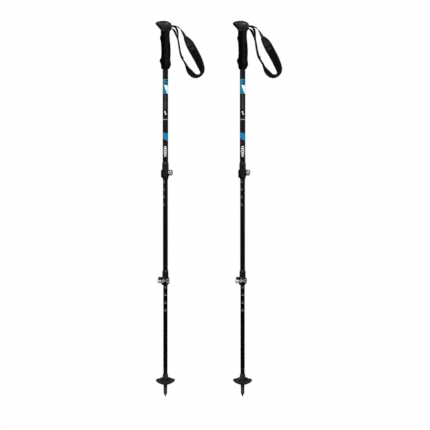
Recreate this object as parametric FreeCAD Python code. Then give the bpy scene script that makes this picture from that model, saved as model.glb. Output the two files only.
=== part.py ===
import FreeCAD, Part
import math
import os

# A pair of three-section aluminium trekking poles with external lever clamps.
# Millimetres, +Z up. The origin is the left pole's tip point on the ground, and the
# left shaft's axis is x = 0, y = 0. -X is forward (the beak of the grip), +X is the
# wrist side (the strap). The right pole is the same pole, shifted along +X.

Vector = FreeCAD.Vector

# ---- driving dimensions -------------------------------------------------------
POLE_SPACING = 252.4

UPPER_OD, UPPER_ID = 18.0, 16.2
MIDDLE_OD, MIDDLE_ID = 16.0, 14.2
LOWER_OD, LOWER_ID = 14.0, 12.2
SLIP = 0.03        # radial gap between pieces that are glued or pressed
RUN = 0.08         # radial running gap between pieces that turn or slide
END_GAP = 0.1      # gap between a tube's end and the shoulder it meets

UPPER_TUBE_TOP_Z = 1190.0
MIDDLE_TUBE_TOP_Z = 846.0
LOWER_TUBE_TOP_Z = 500.0
LOWER_TUBE_BOTTOM_Z = 95.8

UPPER_LOCK_Z = 730.5     # height of the tension screw
LOWER_LOCK_Z = 378.8
LOWER_LOCK_TURN = -90.0  # degrees about Z from the upper lock
TUBE_SEAT = 12.0         # the outer tube ends this far above the screw


# ---- helpers ------------------------------------------------------------------
def cylinder_x(radius, x_min, x_max, y, z):
    return Part.makeCylinder(radius, x_max - x_min, Vector(x_min, y, z), Vector(1, 0, 0))


def cylinder_y(radius, y_min, y_max, x, z):
    return Part.makeCylinder(radius, y_max - y_min, Vector(x, y_min, z), Vector(0, 1, 0))


def cylinder_z(radius, z_min, z_max, x=0.0, y=0.0):
    return Part.makeCylinder(radius, z_max - z_min, Vector(x, y, z_min))


def box(x_min, x_max, y_min, y_max, z_min, z_max):
    size = (x_max - x_min, y_max - y_min, z_max - z_min)
    return Part.makeBox(*size, Vector(x_min, y_min, z_min))


def polygon_face(points):
    return Part.Face(Part.makePolygon(points + [points[0]]))


def prism_xz(points, y_min, y_max):
    face = polygon_face([Vector(x, y_min, z) for x, z in points])
    return face.extrude(Vector(0, y_max - y_min, 0))


def prism_xy(points, z_min, z_max):
    face = polygon_face([Vector(x, y, z_min) for x, y in points])
    return face.extrude(Vector(0, 0, z_max - z_min))


def revolve(outline):
    """A closed (radius, z) outline turned about Z."""
    face = polygon_face([Vector(radius, 0, z) for radius, z in outline])
    return face.revolve(Vector(0, 0, 0), Vector(0, 0, 1), 360)


def tube(outer_diameter, inner_diameter, z_min, z_max):
    bore = cylinder_z(inner_diameter / 2, z_min - 1, z_max + 1)
    return cylinder_z(outer_diameter / 2, z_min, z_max).cut(bore)


def polar(centre_x, centre_y, radius, degrees):
    angle = math.radians(degrees)
    return (centre_x + radius * math.cos(angle), centre_y + radius * math.sin(angle))


def arc(centre_x, centre_y, radius, start, end, steps):
    """Points along an arc, both ends included; angles in degrees."""
    return [
        polar(centre_x, centre_y, radius, start + (end - start) * i / steps)
        for i in range(steps + 1)
    ]


def circle(centre_x, centre_y, radius):
    return arc(centre_x, centre_y, radius, 0, 360, 36)[:-1]


def hull(points):
    """Convex hull of 2-D points, anticlockwise."""
    ordered = sorted(set((round(x, 6), round(y, 6)) for x, y in points))

    def turns_left(first, second, third):
        return (
            (second[0] - first[0]) * (third[1] - first[1])
            - (second[1] - first[1]) * (third[0] - first[0])
        ) > 0

    def half(sequence):
        chain = []
        for point in sequence:
            while len(chain) >= 2 and not turns_left(chain[-2], chain[-1], point):
                chain.pop()
            chain.append(point)
        return chain

    return half(ordered)[:-1] + half(ordered[::-1])[:-1]


def sector(inner_radius, outer_radius, start, end, z_min, z_max):
    """Part of a ring about Z between two angles, in degrees."""
    steps = max(4, int(abs(end - start) / 6))
    wedge = [(0.0, 0.0)] + arc(0, 0, outer_radius * 2.2, start, end, steps)
    ring = tube(2 * outer_radius, 2 * inner_radius, z_min, z_max)
    return ring.common(prism_xy(wedge, z_min, z_max))


def largest_solid(shape):
    """The largest solid in a boolean's result, with needless seams removed."""
    return max(shape.removeSplitter().Solids, key=lambda solid: solid.Volume)


def turned(shape, degrees):
    copy = shape.copy()
    copy.rotate(Vector(0, 0, 0), Vector(0, 0, 1), degrees)
    return copy


def moved(shape, x=0.0, z=0.0):
    copy = shape.copy()
    copy.translate(Vector(x, 0, z))
    return copy


# ---- grip ---------------------------------------------------------------------
# z, front reach, rear reach, half width
HEAD_SECTIONS = [
    (1193.0, -15.4, 15.0, 13.6),
    (1197.0, -15.6, 17.2, 14.4),
    (1201.0, -18.0, 20.4, 15.6),
    (1205.0, -21.4, 21.4, 16.4),
    (1209.0, -25.0, 21.8, 16.9),
    (1212.5, -28.4, 21.8, 17.0),
    (1216.0, -31.4, 21.0, 16.4),
    (1219.3, -32.4, 18.2, 15.0),
    (1222.4, -30.6, 13.6, 12.4),
    (1225.0, -26.0, 7.6, 8.8),
    (1226.6, -19.0, 0.5, 4.2),
]

# z, front reach, rear reach, half width
FOAM_SECTIONS = [
    (1070.3, -12.9, 11.6, 11.9),
    (1073.2, -13.7, 13.6, 12.4),
    (1077.0, -14.3, 15.6, 13.0),
    (1081.5, -14.7, 17.6, 13.4),
    (1085.0, -15.2, 18.4, 13.6),
    (1089.5, -16.6, 18.0, 13.6),
    (1094.5, -18.6, 17.2, 13.6),
    (1098.2, -19.2, 16.7, 13.5),
    (1101.5, -17.8, 16.5, 13.4),
    (1106.0, -15.2, 16.5, 13.4),
    (1112.0, -14.1, 16.8, 13.4),
    (1120.0, -13.7, 17.2, 13.4),
    (1132.0, -13.8, 17.4, 13.5),
    (1145.0, -14.3, 16.6, 13.6),
    (1156.0, -14.9, 15.7, 13.6),
    (1163.0, -15.9, 14.9, 13.6),
    (1168.5, -17.6, 14.4, 13.6),
    (1172.0, -18.0, 14.2, 13.6),
    (1175.5, -17.2, 14.0, 13.5),
    (1180.0, -15.6, 13.9, 13.4),
    (1186.0, -15.3, 14.2, 13.4),
    (1192.9, -15.3, 14.9, 13.5),
]

HEAD_BOTTOM_Z = HEAD_SECTIONS[0][0]
SPIGOT_BOTTOM_Z = 1168.0
SPIGOT_BORE_R = 5.5
SPIGOT_BORE_DEPTH = 18

# The seam between head and cap falls gently from the beak to the back.
SEAM_FRONT_X, SEAM_FRONT_Z = -40, 1219.0
SEAM_REAR_X, SEAM_REAR_Z = 30, 1211.0
SEAM_GAP = 0.5

PIN_X, PIN_Z, PIN_R = 15.0, 1207.0, 1.6   # strap pin in the head
PIN_HALF_LENGTH = 11.9
SLOT_W = 13.2
SLOT_R = 4.3                              # room round the pin for the webbing

WEDGE_FRONT_X, WEDGE_REAR_X = 3.75, 10.2
WEDGE_HALF_W = 6.6
WEDGE_BOTTOM_Z = 1197.6
WEDGE_GAP = 0.15                          # side gap in the pocket
WEDGE_FLOOR_GAP = 0.2
ABOVE_GRIP_Z = 1240                       # clear of the grip's top

LINER_R = 10.5
LINER_BOTTOM_Z = 1071.2


def egg(z, front, rear, half_width, middle, power):
    """A closed smooth outline at height z, widest at middle."""
    count = 28
    points = []
    for i in range(count):
        angle = 2 * math.pi * i / count
        cosine, sine = math.cos(angle), math.sin(angle)
        along = math.copysign(abs(cosine) ** (2 / power), cosine)
        across = math.copysign(abs(sine) ** (2 / power), sine)
        reach = rear - middle if cosine >= 0 else middle - front
        points.append(Vector(middle + reach * along, half_width * across, z))
    curve = Part.BSplineCurve()
    curve.interpolate(Points=points, PeriodicFlag=True)
    return Part.Wire([curve.toShape()])


def head_blank():
    """Head and cap in one piece, before the seam divides them."""
    wires = [
        egg(z, front, rear, half_width, middle=(2.0 if z > 1203 else 0.5), power=2.25)
        for z, front, rear, half_width in HEAD_SECTIONS
    ]
    return Part.makeLoft(wires, True, False)


def seam_side(offset, far_z):
    """Everything between the seam, raised by offset, and the level far_z."""
    outline = [
        (SEAM_FRONT_X, SEAM_FRONT_Z + offset), (SEAM_REAR_X, SEAM_REAR_Z + offset),
        (SEAM_REAR_X, far_z), (SEAM_FRONT_X, far_z),
    ]
    return prism_xz(outline, -30, 30)


def strap_slot():
    """The sector round the pin that the strap leaves the head through."""
    half, start, end = SLOT_W / 2, -82, 84
    outline = [
        polar(PIN_X, PIN_Z, SLOT_R, end + 6),
        (PIN_X - 1.0, PIN_Z),
        polar(PIN_X, PIN_Z, SLOT_R, start - 6),
    ] + arc(PIN_X, PIN_Z, 30.0, start, end, 12)
    return cylinder_y(SLOT_R, -half, half, PIN_X, PIN_Z).fuse(prism_xz(outline, -half, half))


def wedge_pocket():
    half = WEDGE_HALF_W + WEDGE_GAP
    return box(
        WEDGE_FRONT_X - WEDGE_GAP, WEDGE_REAR_X + WEDGE_GAP, -half, half,
        WEDGE_BOTTOM_Z - WEDGE_FLOOR_GAP, ABOVE_GRIP_Z,
    )


def grip_head(blank):
    head = blank.common(seam_side(0, 1150))
    # socket for the cap's tongue
    head = head.cut(
        prism_xz([(-24.1, 1216.5), (2.6, 1213.5), (2.6, 1230.0), (-24.1, 1230.0)], -7.1, 7.1)
    )
    # hollow spigot into the upper tube
    head = head.fuse(cylinder_z(UPPER_ID / 2 - SLIP, SPIGOT_BOTTOM_Z, HEAD_BOTTOM_Z + 1.0))
    head = head.cut(
        cylinder_z(SPIGOT_BORE_R, SPIGOT_BOTTOM_Z - 1, SPIGOT_BOTTOM_Z + SPIGOT_BORE_DEPTH)
    )
    head = head.cut(strap_slot()).cut(wedge_pocket())
    return head.cut(cylinder_y(PIN_R + SLIP, -12.0, 12.0, PIN_X, PIN_Z))


def grip_cap(blank):
    cap = blank.common(seam_side(SEAM_GAP, 1260))
    # the tongue fills most of the seam, so only a shadow gap shows
    tongue = prism_xz([(-24, 1216.6), (2.5, 1213.6), (2.5, 1218.0), (-24, 1218.0)], -7.0, 7.0)
    cap = cap.fuse(tongue)
    cap = cap.cut(strap_slot()).cut(wedge_pocket())
    # finger recess at the front edge of the wedge's pocket
    return cap.cut(cylinder_y(2.2, -4.0, 4.0, 3.7, 1226.8))


def strap_wedge(blank):
    wedge = box(
        WEDGE_FRONT_X, WEDGE_REAR_X, -WEDGE_HALF_W, WEDGE_HALF_W, WEDGE_BOTTOM_Z, ABOVE_GRIP_Z
    ).common(blank)
    # the lower rear face leans, so pulling the wedge up frees the strap
    return wedge.cut(prism_xz([(10.3, 1197.0), (10.3, 1204.0), (8.2, 1197.0)], -8, 8))


def grip_liner():
    return cylinder_z(LINER_R, LINER_BOTTOM_Z, UPPER_TUBE_TOP_Z + 2.6).cut(
        cylinder_z(UPPER_OD / 2 + SLIP, 1060, 1200)
    )


def grip_foam():
    wires = [
        egg(z, front, rear, half_width, middle=(front + rear) / 2, power=2.3)
        for z, front, rear, half_width in FOAM_SECTIONS
    ]
    return Part.makeLoft(wires, True, False).cut(cylinder_z(LINER_R + SLIP, 1060, 1200))


def grip_parts():
    blank = head_blank()
    pin = cylinder_y(PIN_R, -PIN_HALF_LENGTH, PIN_HALF_LENGTH, PIN_X, PIN_Z)
    return {
        "grip_head": grip_head(blank),
        "grip_cap": grip_cap(blank),
        "grip_foam": grip_foam(),
        "grip_liner": grip_liner(),
        "strap_wedge": strap_wedge(blank),
        "strap_pin": pin,
    }


# ---- strap --------------------------------------------------------------------
WEB_W, WEB_T = 12.0, 1.4
WEB_ENTRY = 0.2    # a turned length is this much slimmer inside its straight neighbour
BIGHT_R = PIN_R + 0.15 + WEB_T / 2

# x, z of the centreline, width, thickness, and the angle of the width about the run:
# 90 lies along Y, 0 lies in the plane of the loop.
PAD_STATIONS = [
    (64.4, 1175.2, 13.2, 1.9, 38.0),
    (68.0, 1169.0, 19.0, 3.0, 36.0),
    (74.0, 1160.7, 23.6, 3.6, 18.0),
    (80.0, 1151.4, 27.0, 3.6, 4.0),
    (87.2, 1138.0, 28.4, 3.6, 0.0),
    (94.8, 1124.4, 28.2, 3.6, 0.0),
    (102.2, 1111.0, 27.2, 3.6, 2.0),
    (108.4, 1098.4, 26.4, 3.6, 12.0),
    (113.6, 1086.1, 26.0, 3.6, 27.0),
    (118.0, 1075.0, 26.0, 3.6, 41.0),
    (120.3, 1064.6, 26.0, 3.6, 53.0),
    (118.8, 1056.0, 26.0, 3.6, 63.0),
    (114.0, 1050.6, 26.0, 3.6, 64.0),
    (108.4, 1047.8, 26.0, 3.6, 58.0),
    (101.4, 1046.8, 26.0, 3.6, 52.0),
    (93.6, 1048.6, 26.0, 3.6, 47.0),
    (86.2, 1054.4, 26.0, 3.6, 42.0),
    (79.4, 1062.1, 25.0, 3.6, 43.0),
    (74.2, 1070.2, 22.0, 3.2, 51.0),
    (69.6, 1079.2, 18.0, 2.6, 60.0),
    (65.8, 1087.4, 14.0, 2.2, 66.0),
]

# Turned lengths of webbing: x, z of the centreline and the angle, as for the pad.
OUTER_TURN = [
    (63.7, 1176.4, 38.0), (60.9, 1182.2, 42.0), (57.7, 1188.4, 51.0), (53.2, 1195.6, 66.0),
    (48.4, 1201.8, 82.0), (44.0, 1205.34, 90.0), (42.2, 1206.31, 90.0),
]
LOWER_TURN = [
    (21.7, 1201.0, 90.0), (23.5, 1200.04, 90.0), (27.2, 1197.2, 68.0), (30.8, 1192.2, 60.0),
    (33.4, 1186.6, 62.0), (35.8, 1180.4, 67.0), (38.2, 1173.4, 75.0), (40.2, 1165.8, 84.0),
    (41.9, 1158.2, 90.0), (42.7, 1153.1, 90.0),
]
TAIL_TURN = [
    (26.4, 1208.22, 90.0), (28.3, 1207.95, 90.0), (32.4, 1206.0, 80.0), (35.8, 1202.2, 68.0),
    (38.2, 1197.0, 60.0), (39.8, 1191.0, 63.0), (40.8, 1184.4, 68.0), (41.4, 1176.4, 76.0),
    (42.2, 1167.0, 84.0), (43.7, 1158.3, 90.0), (44.5, 1152.9, 90.0),
]

# Straight lengths, standing along Y: x, z of the centreline. The first runs in from
# the outer strand, round the pin and out to the lower strand.
BIGHT_STRAND = [
    (43.2, 1205.8), (39.5, 1207.7), (34.6, 1209.7), (29.6, 1210.9), (22.6, 1211.2),
    (18.6, 1210.2),
    *arc(PIN_X, PIN_Z, BIGHT_R, 62, 290, 20)[1:],
    (17.6, 1203.2), (20.2, 1201.8), (23.2, 1200.2),
]
LOWER_FOOT = [
    (42.0, 1157.6), (43.4, 1148.6), (45.0, 1138.6), (46.8, 1128.6), (48.8, 1119.4),
    (51.8, 1110.8), (55.6, 1103.6), (59.6, 1097.4), (62.9, 1091.8), (64.4, 1089.6),
]
TAIL_START = [(17.6, 1209.6), (19.6, 1209.4), (21.8, 1208.9)]
TAIL_HEAD = [(21.6, 1208.9), (28.0, 1208.0)]
TAIL_FOOT = [
    (43.8, 1157.6), (45.2, 1148.2), (46.8, 1138.2), (48.6, 1128.2), (50.7, 1118.8),
    (53.4, 1110.8), (57.6, 1103.8),
]


def run_at(stations, i):
    """x and z steps from the station before i to the one after it."""
    before = stations[max(i - 1, 0)]
    after = stations[min(i + 1, len(stations) - 1)]
    return after[0] - before[0], after[1] - before[1]


def ribbon(stations):
    """A flat band lofted through turned rectangles."""
    wires = []
    for i, (x, z, width, thickness, degrees) in enumerate(stations):
        step_x, step_z = run_at(stations, i)
        run = Vector(step_x, 0, step_z)
        run.normalize()
        side = Vector(0, 1, 0).cross(run)
        side.normalize()
        angle = math.radians(degrees)
        across = side * math.cos(angle) + Vector(0, 1, 0) * math.sin(angle)
        through = run.cross(across)
        through.normalize()
        corners = [
            Vector(x, 0, z) + across * (i_across * width / 2) + through * (i_through * thickness / 2)
            for i_across, i_through in ((1, 1), (-1, 1), (-1, -1), (1, -1))
        ]
        wires.append(Part.makePolygon(corners + [corners[0]]))
    return Part.makeLoft(wires, True, True)


def turned_web(stations):
    """A turned length of webbing, slimmer where it enters a straight one."""
    full = []
    for x, z, degrees in stations:
        slimming = WEB_ENTRY if degrees == 90.0 else 0.0
        full.append((x, z, WEB_W - slimming, WEB_T - slimming, degrees))
    return ribbon(full)


def straight_web(points):
    """A length of webbing standing along Y: an (x, z) centreline given thickness."""
    left, right = [], []
    for i, (x, z) in enumerate(points):
        step_x, step_z = run_at(points, i)
        length = math.hypot(step_x, step_z)
        offset_x = -step_z / length * WEB_T / 2
        offset_z = step_x / length * WEB_T / 2
        left.append((x + offset_x, z + offset_z))
        right.append((x - offset_x, z - offset_z))
    return prism_xz(left + right[::-1], -WEB_W / 2, WEB_W / 2)


def strap_webbing():
    webbing = straight_web(BIGHT_STRAND)
    webbing = webbing.fuse(straight_web(TAIL_START)).fuse(straight_web(TAIL_HEAD))
    for stations in (OUTER_TURN, LOWER_TURN, TAIL_TURN):
        webbing = webbing.fuse(turned_web(stations))
    return webbing.fuse(straight_web(LOWER_FOOT).fuse(straight_web(TAIL_FOOT)))


# ---- lever clamp --------------------------------------------------------------
# Each clamp is built with its ears towards +X and its tension screw along Y at
# (screw_x, z = 0). The nut is on the -Y side, the lever's pivot on the +Y side.
EAR_Y = -12.2                 # outer face of the thick ear
NUT_R, NUT_OUTER_Y, NUT_INNER_Y = 7.2, -24.0, -13.0
NUT_TEETH, FLUTE_DEPTH, NUT_CHAMFER = 26, 0.55, 0.9
SCREW_R, SCREW_END_Y = 2.5, -20.4
EYE_R = 4.0
BARREL_R, BARREL_Y = 5.5, -6.7
PIVOT_Y, PIVOT_R = 8.7, 1.5

UPPER_LOCK = dict(
    outer_radius=UPPER_OD / 2, inner_radius=MIDDLE_OD / 2, collar_radius=10.7,
    screw_x=17.5, top=34.0, bottom=-20.5, hood_radius=9.4, hood_end=300,
    groove_angle=-97.0,
)
LOWER_LOCK = dict(
    outer_radius=MIDDLE_OD / 2, inner_radius=LOWER_OD / 2, collar_radius=10.1,
    screw_x=16.4, top=33.1, bottom=-15.5, hood_radius=13.4, hood_end=146,
    groove_angle=186.0,
)


def lock_collar(outer_radius, inner_radius, collar_radius, top, bottom):
    return revolve(
        [
            (0, bottom), (inner_radius + 1.1, bottom), (collar_radius - 0.5, bottom + 7.0),
            (collar_radius, bottom + 9.5), (collar_radius, top - 5.0),
            (collar_radius - 0.55, top - 4.4), (collar_radius - 0.55, top - 3.6),
            (collar_radius - 0.1, top - 3.2), (outer_radius + 0.7, top), (0, top),
        ]
    )


def ear_outline(root_x, collar_radius, screw_x, bottom):
    """(x, z) outline of an ear whose hidden root reaches in to root_x."""
    return [
        (root_x, 12.0), (collar_radius + 0.6, 10.4), (screw_x - 4.4, 7.4), (screw_x - 3.0, 7.0),
        (screw_x + 1.6, 7.0), (screw_x + 4.4, 5.8), (screw_x + 5.6, 3.2), (screw_x + 5.6, -3.2),
        (screw_x + 4.4, -5.8), (screw_x + 1.6, -7.0), (screw_x - 2.2, -7.3),
        (screw_x - 4.6, -8.6), (screw_x - 6.6, -11.0), (collar_radius - 0.6, -13.4),
        (root_x, bottom + 3.4),
    ]


def thick_ear(collar_radius, screw_x, bottom):
    """The -Y ear, which flows out of the collar's -Y side in plan."""
    x, y = polar(0, 0, collar_radius, -104)
    plan = [
        (x, y), (x + 3.0, y - 0.35), (5.6, -12.05), (7.4, EAR_Y),
        (screw_x + 9.0, EAR_Y), (screw_x + 9.0, -0.5), (0.0, -0.5),
    ]
    outline = ear_outline(-9.0, collar_radius, screw_x, bottom)
    return prism_xz(outline, EAR_Y, -0.5).common(prism_xy(plan, -40, 40))


def hood_arc(screw_x, inner_radius, hood_radius, y_min, y_max, end):
    """Part of a ring about the screw's axis, from 38 degrees round to end."""
    ring = cylinder_y(hood_radius, y_min, y_max, screw_x, 0).cut(
        cylinder_y(inner_radius, y_min - 1, y_max + 1, screw_x, 0)
    )
    wedge = [(screw_x, 0.0)] + arc(screw_x, 0, 40, 38, end, 12)
    return ring.common(prism_xz(wedge, y_min, y_max))


def lock_body(
    outer_radius, inner_radius, collar_radius, screw_x, top, bottom,
    hood_radius, hood_end, groove_angle,
):
    body = lock_collar(outer_radius, inner_radius, collar_radius, top, bottom)
    thin_ear = prism_xz(ear_outline(5.0, collar_radius, screw_x, bottom), 0.5, 2.6)
    body = body.fuse(thick_ear(collar_radius, screw_x, bottom)).fuse(thin_ear)
    # hood over the nut, and the web that carries it
    body = body.fuse(hood_arc(screw_x, 5.4, hood_radius, EAR_Y, -7.4, 146)).fuse(
        hood_arc(screw_x, NUT_R + 0.6, hood_radius, -21.6, -12.0, hood_end)
    )
    # bores: the outer tube's seat above, the inner tube's running bore below
    body = body.cut(cylinder_z(outer_radius + SLIP, TUBE_SEAT, top + 5))
    body = body.cut(cylinder_z(inner_radius + RUN + 0.02, bottom - 5, TUBE_SEAT + 1))
    # the slit that lets the clamp close, through the collar and between the ears
    body = body.cut(box(0.0, 60.0, -1.0, 1.0, bottom - 1, 11.0))
    body = body.cut(box(collar_radius + 0.2, 60.0, -1.0, 1.0, -30.0, 30.0))
    # relief groove down the collar
    groove = box(collar_radius - 1.1, collar_radius + 3, -0.8, 0.8, -12.5, 25.0)
    body = body.cut(turned(groove, groove_angle))
    # screw hole and the cross barrel's pocket
    body = body.cut(cylinder_y(SCREW_R + 0.1, -13.0, 3.0, screw_x, 0))
    return body.cut(cylinder_x(BARREL_R + SLIP, screw_x - 5.0, screw_x + 9.0, BARREL_Y, 0))


def lock_barrel(screw_x):
    """A turned metal plug facing out of the thick ear, crossed by the screw."""
    face_x = screw_x + 5.9
    barrel = cylinder_x(BARREL_R, screw_x - 4.9, face_x, BARREL_Y, 0)
    rim = Part.makeCone(BARREL_R, 4.6, 0.9, Vector(face_x, BARREL_Y, 0), Vector(1, 0, 0))
    barrel = barrel.fuse(rim).cut(cylinder_x(3.4, screw_x + 6.2, screw_x + 8, BARREL_Y, 0))
    return barrel.cut(cylinder_y(SCREW_R + 0.1, -14, 2, screw_x, 0))


def fluted_blank(screw_x):
    """The nut's blank: fine flutes round it and chamfered rims."""
    count = NUT_TEETH * 4
    outline = [
        polar(screw_x, 0, NUT_R if i % 4 in (0, 1) else NUT_R - FLUTE_DEPTH, 360 * i / count)
        for i in range(count)
    ]
    body = prism_xz(outline, NUT_OUTER_Y, NUT_INNER_Y)
    rim_x = screw_x + NUT_R + 0.01
    chamfer_x = screw_x + NUT_R - NUT_CHAMFER
    profile = [
        (screw_x, NUT_OUTER_Y), (chamfer_x, NUT_OUTER_Y), (rim_x, NUT_OUTER_Y + NUT_CHAMFER),
        (rim_x, NUT_INNER_Y - NUT_CHAMFER), (chamfer_x, NUT_INNER_Y), (screw_x, NUT_INNER_Y),
    ]
    lathe = polygon_face([Vector(x, y, 0) for x, y in profile]).revolve(
        Vector(screw_x, 0, 0), Vector(0, 1, 0), 360
    )
    return body.common(lathe)


def lock_nut(screw_x):
    floor_y = NUT_OUTER_Y + 0.5
    nut = fluted_blank(screw_x).cut(cylinder_y(5.6, NUT_OUTER_Y - 1, floor_y, screw_x, 0))
    # raised cone in the recessed outer face
    nut = nut.fuse(
        Part.makeCone(4.6, 3.8, 0.45, Vector(screw_x, floor_y, 0), Vector(0, -1, 0))
    )
    # integral washer face
    nut = nut.fuse(cylinder_y(6.3, NUT_INNER_Y - 0.5, NUT_INNER_Y + 0.65, screw_x, 0))
    return nut.cut(
        cylinder_y(SCREW_R + RUN, SCREW_END_Y - 0.2, NUT_INNER_Y + 1, screw_x, 0)
    )


def lock_screw(screw_x):
    """The tension screw, with an eye round the pivot."""
    eye = cylinder_z(EYE_R, -1.9, 1.9, screw_x, PIVOT_Y)
    screw = cylinder_y(SCREW_R, SCREW_END_Y, PIVOT_Y - 2.6, screw_x, 0).fuse(eye)
    # trim the shank's end to the eye's thickness
    screw = screw.common(
        eye.fuse(box(screw_x - 9, screw_x + 9, -30, PIVOT_Y - 3.2, -9, 9))
    )
    return screw.cut(cylinder_z(PIVOT_R + SLIP, -5, 5, screw_x, PIVOT_Y))


class LeverArm:
    """Plan geometry shared by the cam and the paddle, from the pivot to the band."""

    def __init__(self, collar_radius, screw_x):
        self.pivot_x = screw_x
        self.inner_radius = collar_radius + 0.6
        self.outer_radius = collar_radius + 3.3
        band_radius = (self.inner_radius + self.outer_radius) / 2
        band_x, band_y = polar(0, 0, band_radius, 62)
        self.outline = hull(
            circle(screw_x, PIVOT_Y, 4.9)
            + circle(band_x, band_y, (self.outer_radius - self.inner_radius) / 2)
        )
        length = math.hypot(band_x - screw_x, band_y - PIVOT_Y)
        self.along_x = (band_x - screw_x) / length
        self.along_y = (band_y - PIVOT_Y) / length

    def point(self, along, across=0.0):
        return (
            self.pivot_x + self.along_x * along - self.along_y * across,
            PIVOT_Y + self.along_y * along + self.along_x * across,
        )

    def beyond(self, distance, z_min, z_max):
        """Everything past a distance along the arm from the pivot."""
        far = distance + 80
        corners = [(distance, 40), (distance, -40), (far, -40), (far, 40)]
        return prism_xy([self.point(*corner) for corner in corners], z_min, z_max)

    def tongue(self, gap=0.0):
        """The cam's tongue inside the paddle, grown by gap for its socket."""
        plan = hull(circle(*self.point(8.0), 1.3 + gap) + circle(*self.point(11.0), 1.1 + gap))
        return prism_xy(plan, -3.2 - gap, 3.2 + gap)

    def collar_room(self):
        return cylinder_z(self.inner_radius, -40, 40)


def lock_cam(arm):
    """The metal cam fork round the screw's eye."""
    room = arm.collar_room()
    cam = prism_xy(arm.outline, -5.8, 5.8).fuse(
        cylinder_z(5.4, -5.8, 5.8, arm.pivot_x, PIVOT_Y - 0.6)
    )
    cam = cam.cut(arm.beyond(8.2, -40, 40)).cut(room)
    cam = cam.cut(cylinder_z(EYE_R + 0.4, -2.05, 2.05, arm.pivot_x, PIVOT_Y))
    # room for the screw's shank through the whole swing
    swing = [(arm.pivot_x, PIVOT_Y)] + arc(arm.pivot_x, PIVOT_Y, 30, 226, 466, 30)
    cam = cam.cut(prism_xy(swing, -2.65, 2.65))
    cam = cam.cut(cylinder_z(PIVOT_R + RUN, -10, 10, arm.pivot_x, PIVOT_Y))
    return cam.fuse(arm.tongue().cut(room))


def lock_lever(arm, bottom):
    """The moulded paddle that wraps the collar."""
    room = arm.collar_room()
    side = [
        (14.0, -5.6), (14.0, 5.6), (2.0, 5.4), (-3.0, 6.4), (-6.4, 8.8), (-9.6, 10.2),
        (-20.0, 10.4), (-20.0, max(-15.4, bottom + 2.0)), (-9.6, max(-15.2, bottom + 2.2)),
        (-6.0, -11.0), (-2.6, -7.2), (2.0, -5.4),
    ]
    band = sector(arm.inner_radius, arm.outer_radius, 60, 197, -16, 11)
    band = band.common(prism_xz(side, -30, 30))
    lip_x, lip_y = polar(0, 0, arm.outer_radius - 0.7, 194)
    lip = cylinder_z(1.6, max(-12.0, bottom + 4.0), 7.6, lip_x, lip_y)
    root = prism_xy(arm.outline, -5.6, 5.6).common(arm.beyond(8.25, -6, 6)).cut(room)
    lever = band.fuse(root).fuse(lip).cut(room)
    lever = lever.cut(arm.tongue(SLIP))
    # finger grooves in the paddle's outer face
    for z in (-7.5, -4.0, -0.5, 3.0):
        lever = lever.cut(
            sector(arm.outer_radius - 0.5, arm.outer_radius + 1, 152, 186, z - 0.5, z + 0.5)
        )
    return lever


def lock_parts(lock):
    screw_x = lock["screw_x"]
    arm = LeverArm(lock["collar_radius"], screw_x)
    return {
        "body": lock_body(**lock),
        "barrel": lock_barrel(screw_x),
        "nut": lock_nut(screw_x),
        "screw": lock_screw(screw_x),
        "pivot": cylinder_z(PIVOT_R, -6.5, 6.5, screw_x, PIVOT_Y),
        "cam": lock_cam(arm),
        "lever": lock_lever(arm, lock["bottom"]),
    }


# ---- tubes --------------------------------------------------------------------
BUSH_BORE_R = 3.6


def guide_bush(tube_od, tube_id, z):
    """Slotted plastic bush: a spigot in the tube's top, a head that runs in the next tube."""
    head_radius, spigot_radius = tube_od / 2, tube_id / 2
    head = revolve(
        [
            (BUSH_BORE_R, z), (head_radius - 0.5, z), (head_radius + 0.02, z + 1.0),
            (head_radius + 0.02, z + 18.0), (head_radius - 1.0, z + 20.0),
            (BUSH_BORE_R, z + 20.0),
        ]
    )
    spigot = revolve(
        [
            (BUSH_BORE_R, z - 22.0), (spigot_radius - 0.5, z - 22.0),
            (spigot_radius - RUN, z - 20.0), (spigot_radius - RUN, z + 0.5),
            (BUSH_BORE_R, z + 0.5),
        ]
    )
    bush = head.fuse(spigot)
    for angle in (0, 90):
        bush = bush.cut(turned(box(-20, 20, -0.6, 0.6, z + 6.0, z + 30), angle))
    return bush


def tube_parts():
    upper_bottom = UPPER_LOCK_Z + TUBE_SEAT
    middle_bottom = LOWER_LOCK_Z + TUBE_SEAT
    middle_top = MIDDLE_TUBE_TOP_Z - END_GAP
    lower_top = LOWER_TUBE_TOP_Z - END_GAP
    return {
        "upper_tube": tube(UPPER_OD, UPPER_ID, upper_bottom, UPPER_TUBE_TOP_Z),
        "middle_tube": tube(MIDDLE_OD, MIDDLE_ID, middle_bottom, middle_top),
        "middle_bush": guide_bush(MIDDLE_OD, MIDDLE_ID, MIDDLE_TUBE_TOP_Z),
        "lower_tube": tube(LOWER_OD, LOWER_ID, LOWER_TUBE_BOTTOM_Z, lower_top),
        "lower_bush": guide_bush(LOWER_OD, LOWER_ID, LOWER_TUBE_TOP_Z),
    }


# ---- tip and basket -----------------------------------------------------------
FERRULE_R = 5.8
TIP_SEAT_R = 6.4                     # the sleeve where the basket sits
BASKET_BORE_R = TIP_SEAT_R + RUN
BASKET_R = 31.4
SPOKES = 8
HUB_FLUTES = 12

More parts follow.
